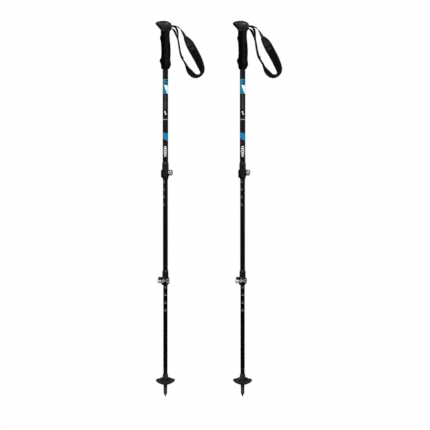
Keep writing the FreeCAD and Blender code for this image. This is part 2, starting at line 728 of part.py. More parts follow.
# radius, z
CARBIDE_OUTLINE = [
    (0, 0), (1.1, 0.0), (1.8, 0.9), (1.45, 1.8), (2.5, 3.4), (4.5, 8.0),
    (4.5, 8.5), (2.57, 8.5), (2.57, 33.0), (2.0, 34.0), (0, 34.0),
]
BASKET_OUTLINE = [
    (BASKET_BORE_R, 39.0), (9.4, 39.0), (10.8, 39.6), (15.0, 40.9), (20.5, 43.1),
    (25.8, 46.3), (29.6, 49.6), (BASKET_R, 52.4), (31.3, 54.2), (30.4, 55.0),
    (29.2, 54.6), (27.6, 53.0), (25.0, 51.0), (20.4, 48.0), (15.0, 45.4),
    (10.8, 44.2), (9.8, 46.2), (9.5, 54.0), (9.4, 62.6), (9.2, 66.0), (8.8, 69.5),
    (8.8, 72.1), (8.1, 72.9), (BASKET_BORE_R, 72.9),
]
# x, z of the rib that stands on each spoke
RIB_OUTLINE = [
    (7.5, 41.0), (20.0, 45.4), (28.6, 51.2), (28.6, 53.6), (23.0, 57.2), (16.5, 60.6),
    (11.0, 62.3), (7.5, 62.6),
]


def tip_sleeve():
    shoulder_z = LOWER_TUBE_BOTTOM_Z - END_GAP
    plug_radius = LOWER_ID / 2 - SLIP
    sleeve = revolve(
        [
            (0, 8.6), (4.9, 8.6), (5.4, 9.4), (FERRULE_R, 11.0), (FERRULE_R, 28.0),
            (6.1, 31.0), (6.25, 36.0), (TIP_SEAT_R, 38.0), (TIP_SEAT_R, 73.4),
            (6.8, 74.4), (6.8, 87.6), (LOWER_OD / 2, shoulder_z), (plug_radius, shoulder_z),
            (plug_radius, 131.0), (LOWER_ID / 2 - 1.2, 134.0), (0, 134.0),
        ]
    )
    # weight-saving bore above, socket for the metal tip below
    sleeve = sleeve.cut(cylinder_z(3.4, 60, 140)).cut(cylinder_z(2.6, 5, 34.1))
    # shallow grooves round the lower part
    for i in range(6):
        groove = box(FERRULE_R - 0.35, FERRULE_R + 2, -0.45, 0.45, 29.5, 37.0)
        sleeve = sleeve.cut(turned(groove, i * 60))
    return sleeve


def basket():
    bore = cylinder_z(BASKET_BORE_R, 20, 100)
    pitch = 360.0 / SPOKES
    shape = revolve(BASKET_OUTLINE)
    for i in range(SPOKES):
        # window between two spokes
        middle = (i + 0.5) * pitch
        shape = shape.cut(sector(13.0, 24.0, middle - 15.0, middle + 15.0, 30, 60))
        # scallop in the rim, in line with a spoke
        scallop = turned(cylinder_x(7.6, 0, 40, 0, 61.1), i * pitch)
        shape = shape.cut(scallop.cut(cylinder_z(15.0, 20, 100)))
    rib = prism_xz(RIB_OUTLINE, -0.9, 0.9).cut(bore)
    for i in range(SPOKES):
        shape = shape.fuse(turned(rib, i * pitch))
    # grip flutes round the hub
    for i in range(HUB_FLUTES):
        x, y = polar(0, 0, 9.7, (i + 0.5) * 360 / HUB_FLUTES)
        shape = shape.cut(cylinder_z(0.9, 63.5, 80, x, y))
    return shape.cut(bore)


# ---- assembly -----------------------------------------------------------------
def build_pole():
    parts = {
        **grip_parts(),
        "strap_webbing": strap_webbing(),
        "strap_pad": ribbon(PAD_STATIONS),
        **tube_parts(),
        "tip_sleeve": tip_sleeve(),
        "tip_carbide": revolve(CARBIDE_OUTLINE),
        "basket": basket(),
    }
    for prefix, lock, turn, height in (
        ("upper_lock_", UPPER_LOCK, 0.0, UPPER_LOCK_Z),
        ("lower_lock_", LOWER_LOCK, LOWER_LOCK_TURN, LOWER_LOCK_Z),
    ):
        for name, shape in lock_parts(lock).items():
            parts[prefix + name] = moved(turned(shape, turn), z=height)
    return {name: largest_solid(shape) for name, shape in parts.items()}


os.makedirs("parts", exist_ok=True)
for name, shape in build_pole().items():
    for side, shift in (("left_", 0.0), ("right_", POLE_SPACING)):
        moved(shape, x=shift).exportStep("parts/" + side + name + ".step")
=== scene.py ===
# A pair of telescopic poles with foam grips, wrist straps, lever locks, baskets and carbide tips.
# Both stand upright along Z: the left pole's axis is x = 0, the right one's is x = SPACING, and
# y = 0 for both. The camera looks along +Y. On each grip the fingers lie towards -X and the
# palm, wrist and strap towards +X.
import math
from functools import reduce

import bmesh
import bpy
import numpy as np
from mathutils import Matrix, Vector


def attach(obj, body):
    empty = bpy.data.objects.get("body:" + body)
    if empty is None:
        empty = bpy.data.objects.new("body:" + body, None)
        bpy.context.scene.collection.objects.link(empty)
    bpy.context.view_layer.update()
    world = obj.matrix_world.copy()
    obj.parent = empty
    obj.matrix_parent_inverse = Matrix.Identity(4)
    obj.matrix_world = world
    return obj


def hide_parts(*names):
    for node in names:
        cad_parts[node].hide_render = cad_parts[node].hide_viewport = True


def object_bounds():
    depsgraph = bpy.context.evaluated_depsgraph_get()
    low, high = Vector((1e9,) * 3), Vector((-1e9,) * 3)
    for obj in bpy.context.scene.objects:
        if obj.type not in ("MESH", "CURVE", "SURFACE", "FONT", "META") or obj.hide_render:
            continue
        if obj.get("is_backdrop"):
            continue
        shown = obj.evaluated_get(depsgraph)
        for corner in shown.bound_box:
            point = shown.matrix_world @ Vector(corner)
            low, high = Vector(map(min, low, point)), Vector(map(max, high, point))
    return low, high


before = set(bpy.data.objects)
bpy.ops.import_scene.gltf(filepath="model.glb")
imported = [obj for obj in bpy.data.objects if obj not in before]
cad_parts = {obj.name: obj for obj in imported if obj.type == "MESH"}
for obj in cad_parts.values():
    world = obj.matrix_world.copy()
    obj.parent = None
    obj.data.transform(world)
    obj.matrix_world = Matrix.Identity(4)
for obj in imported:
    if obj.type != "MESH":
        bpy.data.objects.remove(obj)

bounds_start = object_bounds()
scene = bpy.context.scene

# Lengths are in metres in the materials and the stage, in millimetres in the mesh sections.
MM = 0.001
SPACING = 0.2524
SIDES = (("left", 0.0), ("right", SPACING))

# Heights of the two locks, and how far their turned parts stand from the pole's axis
UPPER_LOCK_Z, LOWER_LOCK_Z = 0.7305, 0.3788
UPPER_NUT_OFFSET, LOWER_NUT_OFFSET = 0.0175, 0.0164
BARREL_OFFSET = 0.0067

# Length scales printed on the tubes, in mm. "turn" is the angle of the scale's middle about
# the tube, "zero_z" the height of the mark numbered 120, "rise" lifts a number over its mark.
MARK_PITCH = 24.9
MARK_STEPS = range(-3, 8)
SCALES = {
    "middle": dict(turn=-0.75, zero_z=699.5, size=5.4, radius=8.0, rise=4.6),
    "lower": dict(turn=0.05, zero_z=355.4, size=5.0, radius=7.0, rise=4.4),
}
ZERO_NUMBER, NUMBER_STEP = 120, 5
NUMBERS = (120, 115, 110, 105, 125, 130, 135)


# ---------------------------------------------------------------- shader helpers
FULL_TURN = 6.2832


def tint(colour, factor):
    return [min(1.0, c * factor) for c in colour]


class Signal:
    """A node's output. Arithmetic on it adds Math nodes to its net."""

    def __init__(self, net, socket):
        self.net = net
        self.socket = socket

    def math(self, operation, *others):
        return self.net.math(operation, self, *others)

    def __add__(self, other):
        return self.math("ADD", other)

    def __sub__(self, other):
        return self.math("SUBTRACT", other)

    def __rsub__(self, other):
        return self.net.math("SUBTRACT", other, self)

    def __mul__(self, other):
        return self.math("MULTIPLY", other)

    def __truediv__(self, other):
        return self.math("DIVIDE", other)

    def __abs__(self):
        return self.math("ABSOLUTE")

    def max(self, other):
        return self.math("MAXIMUM", other)

    def min(self, other):
        return self.math("MINIMUM", other)

    def mul_add(self, factor, addend):
        return self.math("MULTIPLY_ADD", factor, addend)

    def wave(self, factor):
        """A sine of self * factor, moved into 0 to 1."""
        return (self * factor).math("SINE") * 0.5 + 0.5

    def ramp(self, lo, hi, out=(0.0, 1.0)):
        """Smooth step from out[0] at lo to out[1] at hi."""
        return self.net.signal(
            "ShaderNodeMapRange", dict(enumerate((self, lo, hi, *out))),
            interpolation_type="SMOOTHSTEP", clamp=True,
        )

    def band(self, lo, hi, soft=0.0002):
        """1 between lo and hi, with a thin soft border."""
        rise = self.ramp(lo - soft, lo + soft)
        return rise * self.ramp(hi - soft, hi + soft, out=(1.0, 0.0))

    def mix(self, at_zero, at_one):
        """Colour mix with self as the factor."""
        inputs = {0: self, 6: at_zero, 7: at_one}
        return self.net.signal("ShaderNodeMix", inputs, output=2, data_type="RGBA")

    def bump(self, strength, distance, normal=None):
        inputs = {"Strength": strength, "Distance": distance, "Height": self}
        if normal is not None:
            inputs["Normal"] = normal
        return self.net.signal("ShaderNodeBump", inputs)


def union(masks):
    return reduce(Signal.max, masks)


class Net:
    """A new material whose node tree ends in one Principled shader."""

    def __init__(self, name):
        self.material = bpy.data.materials.new(name)
        self.material.use_nodes = True
        self.tree = self.material.node_tree
        self.tree.nodes.clear()
        self.output = self.node("ShaderNodeOutputMaterial")
        self.shader = self.node("ShaderNodeBsdfPrincipled")
        self.put(self.output.inputs[0], self.shader.outputs[0])

    def put(self, socket, value):
        """Links a signal or a socket, or sets a plain value. RGB gets an alpha of 1."""
        value = getattr(value, "socket", value)
        if isinstance(value, bpy.types.NodeSocket):
            self.tree.links.new(value, socket)
            return
        if hasattr(value, "__len__") and len(value) == 3 and len(socket.default_value) == 4:
            value = list(value) + [1.0]
        socket.default_value = value

    def node(self, kind, inputs=None, **props):
        node = self.tree.nodes.new(kind)
        for key, value in props.items():
            setattr(node, key, value)
        for key, value in (inputs or {}).items():
            self.put(node.inputs[key], value)
        return node

    def signal(self, kind, inputs=None, output=0, **props):
        return Signal(self, self.node(kind, inputs, **props).outputs[output])

    def math(self, operation, *values):
        return self.signal("ShaderNodeMath", dict(enumerate(values)), operation=operation)

    def measure(self, operation, *vectors):
        """A vector operation that gives one number."""
        inputs = dict(enumerate(vectors))
        return self.signal("ShaderNodeVectorMath", inputs, "Value", operation=operation)

    def coords(self):
        return self.signal("ShaderNodeTexCoord", output="Object")

    def split(self, vector):
        node = self.node("ShaderNodeSeparateXYZ", {0: vector})
        return [Signal(self, socket) for socket in node.outputs]

    def fabric_uv(self):
        """Metres across and along the cloth."""
        return self.split(self.signal("ShaderNodeUVMap", uv_map="UVMap"))[:2]

    def around(self, axis_x):
        """Angle about a tube's axis (0 faces -Y, rising towards +X), and height."""
        x, y, z = self.split(self.coords())
        x = x - axis_x
        return x.math("ARCTAN2", y * -1.0), z

    def stretch(self, vector, scale):
        return self.signal("ShaderNodeMapping", {"Vector": vector, "Scale": scale})

    def noise(self, vector, scale, detail=3.0, rough=0.55):
        inputs = {"Vector": vector, "Scale": scale, "Detail": detail, "Roughness": rough}
        return self.signal("ShaderNodeTexNoise", inputs)

    def cells(self, vector, scale):
        inputs = {"Vector": vector, "Scale": scale}
        return self.signal("ShaderNodeTexVoronoi", inputs, "Distance")

    def edge(self, radius):
        """A mask, 0 on flats and 1 on sharp edges, and the softened normal."""
        bevel = self.node("ShaderNodeBevel", {"Radius": radius}, samples=4)
        geometry = self.node("ShaderNodeNewGeometry")
        facing = self.measure("DOT_PRODUCT", bevel.outputs[0], geometry.outputs["Normal"])
        return (1.0 - facing).ramp(lo=0.02, hi=0.25), bevel.outputs[0]

    def finish(self, **inputs):
        """Sets the Principled inputs, named with _ for spaces, and returns the material."""
        for key, value in inputs.items():
            self.put(self.shader.inputs[key.replace("_", " ")], value)
        return self.material


# ---------------------------------------------------------------- material kinds
def plastic(
    name, base, rough=0.5, grain=1400.0, bump=0.25, worn=(0.12, 0.12, 0.125), wear=0.5,
    specular=0.4, dark_above=None,
):
    """Moulded plastic: fine grain, faint mould flow, lighter rubbed edges."""
    net = Net(name)
    place = net.coords()
    fine = net.noise(place, scale=grain, detail=4.0, rough=0.6)
    flow = net.noise(net.stretch(place, scale=(1, 1, 0.25)), scale=90.0, detail=2.0)
    edge, softened = net.edge(radius=0.00045)
    patches = net.noise(place, scale=260.0).ramp(lo=0.42, hi=0.62)
    rubbed = edge * patches * wear
    shade = flow.ramp(lo=0.35, hi=0.65).mix(tint(base, 0.86), tint(base, 1.18))
    colour = rubbed.mix(shade, worn)
    if dark_above:
        # the sleeve is darker and less shiny above the given height
        top_black, top_specular = (0.0042, 0.0042, 0.0045), 0.14
        top_mask = net.split(place)[2].ramp(lo=dark_above, hi=dark_above + 0.004)
        colour = top_mask.mix(colour, top_black)
        specular = top_mask.mul_add(top_specular - specular, specular)
    roughness = fine.ramp(lo=0.3, hi=0.7, out=(rough - 0.07, rough + 0.07)) + rubbed * -0.08
    return net.finish(
        Base_Color=colour, Roughness=roughness, Specular_IOR_Level=specular,
        Normal=fine.bump(strength=bump, distance=0.00012, normal=softened),
    )


def hub_distance(net, place, axis, centres):
    """Distance from the nearest of the lines that run along the axis through the centres."""
    coords = net.split(place)

    def distance(centre):
        kept = [i for i in range(3) if "XYZ"[i] != axis]
        offsets = {i: coords[i] - centre[i] for i in kept}
        return net.measure("LENGTH", net.signal("ShaderNodeCombineXYZ", offsets))

    return reduce(Signal.min, (distance(centre) for centre in centres))


def metal(name, base, rough, stretch, grain=900.0, dark=None, hub=None):
    """Turned metal: fine tool lines, a little tarnish in the recesses.

    hub is (axis letter, centres, rim radius, rim colour): rings about the axis and a darker rim,
    painted shade round the edge of the nut and barrel faces."""
    net = Net(name)
    place = net.coords()
    lines = net.noise(net.stretch(place, scale=stretch), scale=grain, rough=0.7)
    blots = net.noise(place, scale=130.0)
    edge, softened = net.edge(radius=0.0004)
    colour = blots.ramp(lo=0.35, hi=0.7).mix(base, tint(base, 0.85))
    if dark:
        colour = lines.ramp(lo=0.3, hi=0.75).mix(dark, colour)
    roughness = lines.ramp(lo=0.25, hi=0.75, out=(rough - 0.05, rough + 0.07))
    height = lines
    if hub:
        axis, centres, rim, rim_shade_colour = hub
        ring_pitch, rim_soft, rim_rougher = 0.00042, 0.0002, 0.12
        far = hub_distance(net, place, axis, centres)
        rings = (far * (FULL_TURN / ring_pitch)).math("SINE")
        height = rings * 0.35 + lines * 0.3
        # painted shade: beyond the rim radius the colour darkens to the rim colour
        colour = far.ramp(rim - rim_soft, rim + rim_soft).mix(colour, rim_shade_colour)
        roughness = roughness + far.ramp(rim - rim_soft, rim + rim_soft, out=(0.0, rim_rougher))
    # painted highlight: the colour is lighter along sharp edges
    colour = (edge * 0.4).mix(colour, tint(base, 1.3))
    return net.finish(
        Base_Color=colour, Metallic=1.0, Roughness=roughness,
        Normal=height.bump(strength=0.16, distance=0.00005, normal=softened),
    )


def rubber(name, base, rough):
    """Pebbled rubber with slightly lighter edges."""
    net = Net(name)
    place = net.coords()
    pebbles = net.cells(place, scale=1500.0)
    fine = net.noise(place, scale=2400.0)
    wide = net.noise(place, scale=70.0)
    height = pebbles + fine * 0.4
    colour = wide.ramp(lo=0.35, hi=0.65).mix(tint(base, 0.85), tint(base, 1.2))
    edge, softened = net.edge(radius=0.0006)
    colour = (edge * 0.3).mix(colour, tint(base, 2.2))
    return net.finish(
        Base_Color=colour,
        Roughness=wide.ramp(lo=0.3, hi=0.7, out=(rough - 0.05, rough + 0.08)),
        Specular_IOR_Level=0.35,
        Normal=height.bump(strength=0.3, distance=0.00015, normal=softened),
    )


def foam(name):
    """Closed-cell foam: open skin of small cells, darker in the pores."""
    dark, light = (0.0008, 0.0008, 0.0008), (0.0024, 0.0024, 0.0025)
    rub_grey, painted_shade_black, pore_black = (0.009, 0.009, 0.0092), (0.0004,) * 3, (0.0005,) * 3
    between_poles = 0.126  # x beyond which a point belongs to the right pole
    net = Net(name)
    place = net.coords()
    coarse = net.cells(place, scale=1100.0)
    small = net.cells(place, scale=2600.0)
    wide = net.noise(place, scale=55.0, detail=4.0)
    rub = net.noise(net.stretch(place, scale=(1, 1, 0.5)), scale=150.0)
    pores = (coarse * small).ramp(lo=0.02, hi=0.30)
    base = wide.ramp(lo=0.3, hi=0.7).mix(dark, light)
    base = (rub.ramp(lo=0.5, hi=0.75) * 0.35).mix(base, rub_grey)
    # painted light: a lighter, shinier band right of the axis, and painted shade, near black,
    # towards -X
    x = net.split(place)[0]
    x = x - x.math("GREATER_THAN", between_poles) * SPACING
    palm = x.ramp(lo=-0.0055, hi=0.0060) * x.ramp(lo=0.0100, hi=0.0160, out=(1.0, 0.6))
    palm = palm * rub.ramp(lo=0.25, hi=0.75, out=(0.55, 1.25))
    base = palm.mix(painted_shade_black, base)
    colour = (pores * 0.45).mix(base, pore_black)
    height = coarse * -0.8 + small * -0.4
    return net.finish(
        Base_Color=colour, Roughness=wide.ramp(lo=0.3, hi=0.7, out=(0.42, 0.58)),
        Specular_IOR_Level=palm.mul_add(factor=0.062, addend=0.014),
        Sheen_Weight=0.01, Sheen_Roughness=0.5,
        Normal=height.bump(strength=0.55, distance=0.00035),
    )


def webbing(name, base, high, pitch=0.0011):
    """Woven webbing: chevron ribs across fine warp threads."""
    chevron_width, chevron_rise, warp_pitch = 0.004, 4.0, 0.0008
    net = Net(name)
    across, along = net.fabric_uv()
    chevron = abs((across / chevron_width).math("FRACT") - 0.5)
    ribs = (along / pitch + chevron * chevron_rise).wave(FULL_TURN)
    warp = across.wave(FULL_TURN / warp_pitch)
    fuzz = net.noise(net.coords(), scale=5200.0, detail=2.0)
    wide = net.noise(net.coords(), scale=120.0)
    height = ribs * 0.7 + (warp * 0.4 + fuzz * 0.5)
    colour = height.ramp(lo=0.35, hi=1.25).mix(base, high)
    colour = (wide.ramp(lo=0.4, hi=0.7) * 0.3).mix(colour, tint(high, 1.35))
    return net.finish(
        Base_Color=colour, Roughness=0.82, Specular_IOR_Level=0.12, Sheen_Weight=0.05,
        Sheen_Roughness=0.5, Normal=height.bump(strength=0.75, distance=0.00022),
    )


def spacer_knit(name, base, high):
    """Spacer knit over foam: staggered open cells with a soft nap between them."""
    cell_turns = FULL_TURN / 0.0017  # radians per metre across
    net = Net(name)
    across, along = net.fabric_uv()
    place = net.coords()
    waves = (across * cell_turns).math("COSINE") * (along * (cell_turns * 0.58)).math("COSINE")
    cells = waves.ramp(lo=-0.15, hi=0.85)
    holes = cells.max((waves * -1.0).ramp(lo=-0.15, hi=0.85))
    nap = net.noise(place, scale=3800.0)
    wide = net.noise(place, scale=85.0, detail=4.0)
    height = holes * -1.0 + nap * 0.5
    colour = wide.ramp(lo=0.3, hi=0.7).mix(base, high)
    colour = (holes * 0.7).mix(colour, tint(base, 0.35))
    return net.finish(
        Base_Color=colour, Roughness=0.88, Specular_IOR_Level=0.06, Sheen_Weight=0.02,
        Sheen_Roughness=0.45, Normal=height.bump(strength=0.6, distance=0.0003),
    )


def thread(name, base):
    net = Net(name)
    fibre = net.noise(net.stretch(net.coords(), scale=(1, 1, 1)), scale=6000.0, detail=2.0)
    return net.finish(
        Base_Color=fibre.mix(tint(base, 0.7), tint(base, 1.3)), Roughness=0.6,
        Normal=fibre.bump(strength=0.5, distance=0.0001),
    )


def anodised(name, axis_x, scale, base, specular):
    """Black anodised tube: drawing lines, sliding scuffs, printed length marks."""
    scuff_grey, ink = (0.06, 0.06, 0.063), (0.34, 0.35, 0.36)
    mark_half = 0.0007  # half a mark's height
    net = Net(name)
    angle, z = net.around(axis_x)
    place = net.coords()
    drawn = net.stretch(place, scale=(1, 1, 0.012))
    lines = net.noise(drawn, scale=1600.0, rough=0.7)
    slid = net.stretch(place, scale=(1, 1, 0.03))
    scuff = net.noise(slid, scale=700.0, detail=4.0, rough=0.75)
    patches = net.noise(net.stretch(place, scale=(1, 1, 0.3)), scale=60.0)
    colour = patches.ramp(lo=0.35, hi=0.65).mix(base, tint(base, 1.7))
    scuffs = scuff.ramp(lo=0.60, hi=0.72) * patches.ramp(lo=0.45, hi=0.62)
    colour = (scuffs * 0.22).mix(colour, scuff_grey)
    # a short printed bar round the tube at each mark
    reach = abs(angle - scale["turn"]).ramp(lo=0.66, hi=0.70, out=(1.0, 0.0))
    marks = [(scale["zero_z"] + MARK_PITCH * step) * MM for step in MARK_STEPS]
    bars = union(z.band(m - mark_half, m + mark_half, soft=0.00015) for m in marks)
    printed = bars * reach
    thin = net.noise(place, scale=1800.0, detail=2.0).ramp(lo=0.25, hi=0.45, out=(0.75, 1.0))
    colour = (printed * thin).mix(colour, ink)
    return net.finish(
        Base_Color=colour,
        Roughness=lines.ramp(lo=0.3, hi=0.7, out=(0.27, 0.37)) + printed * 0.2,
        Specular_IOR_Level=specular, Normal=lines.bump(strength=0.10, distance=0.00005),
    )


# ---------------------------------------------------------------- painted upper tube
TUBE_RADIUS = 0.009  # turns the angle into metres round the tube
BLACK, GREY = (0.0014, 0.0020, 0.0036), (0.36, 0.37, 0.38)
FIELD_GREY, BAR_GREY = (0.006, 0.006, 0.0065), (0.14, 0.155, 0.16)
BLUE, LIGHT_BLUE, STRIPE_BLUE = (0.010, 0.190, 0.295), (0.016, 0.170, 0.255), (0.008, 0.212, 0.390)
PALE, SLIVER_HIGHLIGHT, RED = (0.84, 0.97, 0.98), (0.30, 0.55, 0.62), (0.16, 0.008, 0.012)
MARK_WHITE, CHEVRON_WHITE, CHIP_GREY = (0.95, 0.96, 0.97), (0.92, 0.93, 0.94), (0.2, 0.2, 0.21)
PRINT_SOFT = 0.00012  # border of the small printed marks
# Column of faint bars: middle height, half width round the tube, half height
BARS = (
    (0.9800, 0.0016, 0.0040), (0.9700, 0.0016, 0.0034), (0.9610, 0.0024, 0.0016),
    (0.9560, 0.0024, 0.0016), (0.9510, 0.0024, 0.0016), (0.9460, 0.0024, 0.0016),
    (0.9405, 0.0020, 0.0018),
)
CHEVRONS, CHEVRON_TOP, CHEVRON_PITCH = 6, 0.8158, 0.0061


def paint_block(colour, angle, across, z):
    """The upper blue block with its pale wedge, two dark facets and a painted highlight along its
    top edge.
    """
    blue = z.ramp(lo=1.003, hi=1.021).mix(BLUE, LIGHT_BLUE)
    colour = z.band(lo=0.9880, hi=1.0356).mix(colour, blue)
    # the wedge lies above a border that falls towards +X
    above = z - across.mul_add(factor=-2.65, addend=1.0052)
    wedge = above.ramp(lo=-0.0003, hi=0.0003) * z.band(lo=0.9892, hi=1.0160)
    colour = (wedge * angle.ramp(lo=1.9, hi=1.93, out=(1.0, 0.0))).mix(colour, PALE)
    # the facets fall towards +X too, with blue between them
    slope = across.mul_add(factor=0.5, addend=z)
    wrist_side = angle.ramp(lo=1.9, hi=1.93, out=(1.0, 0.0))
    facet = slope.band(lo=1.0302, hi=1.0352) * across.ramp(lo=0.0016, hi=0.0020)
    colour = (facet * wrist_side).mix(colour, BLACK)
    facet = slope.band(lo=1.0203, hi=1.0252) * across.band(lo=-0.0006, hi=0.0054)
    colour = (facet * wrist_side).mix(colour, BLACK)
    # painted highlight: a lighter line along the block's top edge, stronger towards -X
    sliver_highlight = z.band(lo=1.0336, hi=1.0356) * angle.ramp(lo=-0.5, hi=0.5, out=(0.5, 0.15))
    return sliver_highlight.mix(colour, SLIVER_HIGHLIGHT)


def paint_small_marks(colour, across, z):
    """Below the block: the faint bars, a white mark of two blocks and a thin grey ring."""
    bars = union(
        z.band(middle - half_z, middle + half_z) * across.band(-half_u, half_u, PRINT_SOFT)
        for middle, half_u, half_z in BARS
    )
    colour = (bars * 0.5).mix(colour, BAR_GREY)
    upper = z.band(lo=0.9258, hi=0.9312) * across.band(lo=-0.0026, hi=0.0010, soft=PRINT_SOFT)
    lower = z.band(lo=0.9193, hi=0.9250) * across.band(lo=0.0, hi=0.0032, soft=PRINT_SOFT)
    colour = upper.max(lower).mix(colour, MARK_WHITE)
    return z.band(lo=0.9032, hi=0.9058).mix(colour, GREY)


def paint_stripe(colour, angle, across, z):
    """A bright blue stripe that narrows towards -X and falls towards +X, over a red bar."""
    low = across.mul_add(factor=-0.42, addend=0.8379)
    high = across.mul_add(factor=-0.25, addend=0.8608)
    stripe = (z - low).ramp(lo=-0.0003, hi=0.0003)
    stripe = stripe * (z - high).ramp(lo=-0.0003, hi=0.0003, out=(1.0, 0.0))
    stripe = stripe * abs(angle).ramp(lo=1.95, hi=1.98, out=(1.0, 0.0))
    colour = stripe.mix(colour, STRIPE_BLUE)
    red = z.band(lo=0.8262, hi=0.8292) * across.band(lo=-0.0075, hi=0.0008)
    return (red * 0.8).mix(colour, RED)


def chevron(across, z, k):
    """V-shaped mark number k from the top. The first and last are narrower."""
    half = 0.0034 if k in (0, CHEVRONS - 1) else 0.0050
    point_z = CHEVRON_TOP - CHEVRON_PITCH * k - 0.0012
    height = z - abs(across).mul_add(factor=0.55, addend=point_z)
    return height.band(lo=-0.0016, hi=0.0016, soft=0.0001) * across.band(-half, half, PRINT_SOFT)


def upper_paint(name, axis_x):
    """Black painted tube with its printed graphics."""
    net = Net(name)
    angle, z = net.around(axis_x)
    place = net.coords()
    across = angle * TUBE_RADIUS
    peel = net.noise(place, scale=520.0, detail=2.0)
    flake = net.noise(place, scale=60.0)
    colour = flake.ramp(lo=0.35, hi=0.65).mix(BLACK, tint(BLACK, 1.5))
    # slightly greyer satin field between the ring and the stripe
    colour = (z.band(lo=0.8675, hi=0.9020) * 0.75).mix(colour, FIELD_GREY)
    colour = paint_block(colour, angle, across, z)
    colour = paint_small_marks(colour, across, z)
    colour = paint_stripe(colour, angle, across, z)
    colour = union(chevron(across, z, k) for k in range(CHEVRONS)).mix(colour, CHEVRON_WHITE)
    # small chips near the clamp
    chips = net.noise(place, scale=900.0).ramp(lo=0.70, hi=0.74)
    chips = chips * z.ramp(lo=0.77, hi=0.79, out=(1.0, 0.0))
    colour = (chips * 0.5).mix(colour, CHIP_GREY)
    return net.finish(
        Base_Color=colour, Roughness=flake.ramp(lo=0.3, hi=0.7, out=(0.38, 0.46)),
        Specular_IOR_Level=0.12, Coat_Weight=0.02, Coat_Roughness=0.2,
        Normal=peel.bump(strength=0.06, distance=0.00008),
    )


# ---------------------------------------------------------------- materials of the pieces
# Tool lines drawn out along one axis
DRAWN_X, DRAWN_Y = (0.05, 1, 1), (1, 0.05, 1)
LOCK_PLASTIC = dict(
    base=(0.0036, 0.0036, 0.0039), grain=1500, worn=(0.05, 0.05, 0.052), specular=0.26,
)
BRIGHT = dict(base=(0.95, 0.955, 0.96), rough=0.36)
# Hubs: axis, centres, rim radius, rim colour (darker, painted shade round the face's edge)
UPPER_NUT_HUB = (
    "Y", [(UPPER_NUT_OFFSET + x, 0, UPPER_LOCK_Z) for _, x in SIDES], 0.0064, (0.10, 0.10, 0.103),
)
LOWER_NUT_HUB = ("X", [(0, -LOWER_NUT_OFFSET, LOWER_LOCK_Z)], 0.0067, (0.60, 0.60, 0.605))
LOWER_BARREL_HUB = (
    "Y", [(-BARREL_OFFSET + x, 0, LOWER_LOCK_Z) for _, x in SIDES], 0.0047, (0.38, 0.38, 0.385),
)
UPPER_BARREL_HUB = ("X", [(0, -BARREL_OFFSET, UPPER_LOCK_Z)], 0.0047, (0.26, 0.26, 0.265))

MATERIALS = {
    "head": rubber("grip_rubber_mat", base=(0.0040, 0.0040, 0.0043), rough=0.48),
    "cap": plastic(
        "cap_plastic_mat", base=(0.0075, 0.0075, 0.0080), rough=0.38, grain=1600, bump=0.3,
    ),
    "foam": foam("grip_foam_mat"),
    "liner": plastic("liner_mat", base=(0.035, 0.035, 0.036)),
    "wedge": plastic("wedge_mat", base=(0.040, 0.040, 0.042), rough=0.45),
    "clamp": plastic("clamp_plastic_mat", rough=0.38, wear=0.4, **LOCK_PLASTIC),
    "lever": plastic("lever_plastic_mat", rough=0.34, bump=0.2, **LOCK_PLASTIC),
    "bright_x": metal("bright_aluminium_x", stretch=DRAWN_X, **BRIGHT),
    "bright_y": metal("bright_aluminium_y", stretch=DRAWN_Y, **BRIGHT),
    "nut_upper": metal(
        "nut_upper_mat", base=(0.76, 0.765, 0.77), rough=0.34, stretch=DRAWN_Y, hub=UPPER_NUT_HUB,
    ),
    "nut_lower": metal(
        "nut_lower_mat", base=(0.74, 0.745, 0.75), rough=0.36, stretch=DRAWN_X, hub=LOWER_NUT_HUB,
    ),
    "barrel_lower": metal(
        "barrel_lower_mat", base=(0.72, 0.72, 0.725), rough=0.45, stretch=DRAWN_Y,
        hub=LOWER_BARREL_HUB,
    ),
    "barrel_upper": metal(
        "barrel_upper_mat", base=(0.40, 0.40, 0.405), rough=0.42, stretch=DRAWN_X,
        hub=UPPER_BARREL_HUB,
    ),
    "steel": metal("steel_mat", base=(0.46, 0.46, 0.465), rough=0.30, stretch=(1, 1, 0.1)),
    "bush": plastic("bush_mat", base=(0.55, 0.55, 0.52), worn=(0.7, 0.7, 0.68)),
    "tip": plastic(
        "tip_plastic_mat", base=(0.038, 0.038, 0.040), rough=0.46, grain=1300, bump=0.3,
        worn=(0.16, 0.16, 0.16), wear=0.8, dark_above=0.0715,
    ),
    "carbide": metal(
        "carbide_mat", base=(0.20, 0.20, 0.205), rough=0.36, stretch=(1, 1, 0.3), grain=1200,
        dark=(0.09, 0.09, 0.09),
    ),
    "basket": plastic(
        "basket_plastic_mat", base=(0.017, 0.017, 0.018), rough=0.30, grain=1200, bump=0.3,
        worn=(0.24, 0.24, 0.245), wear=1.0, specular=0.62,
    ),
    "web": webbing("webbing_mat", base=(0.0022, 0.0022, 0.0024), high=(0.011, 0.011, 0.0115)),
    "binding": webbing(
        "binding_mat", base=(0.0014, 0.0014, 0.0015), high=(0.0055, 0.0055, 0.0058), pitch=0.0009,
    ),
    "tab": webbing(
        "tab_mat", base=(0.0085, 0.0085, 0.009), high=(0.021, 0.021, 0.022), pitch=0.0010,
    ),
    "pad": spacer_knit(
        "pad_cloth_mat", base=(0.0030, 0.0030, 0.0032), high=(0.0068, 0.0068, 0.0072),
    ),
    "thread": thread("thread_mat", base=(0.030, 0.030, 0.032)),
    "thread_light": thread("thread_light_mat", base=(0.070, 0.070, 0.073)),
    "ink": thread("ink_mat", base=(0.24, 0.245, 0.25)),
}

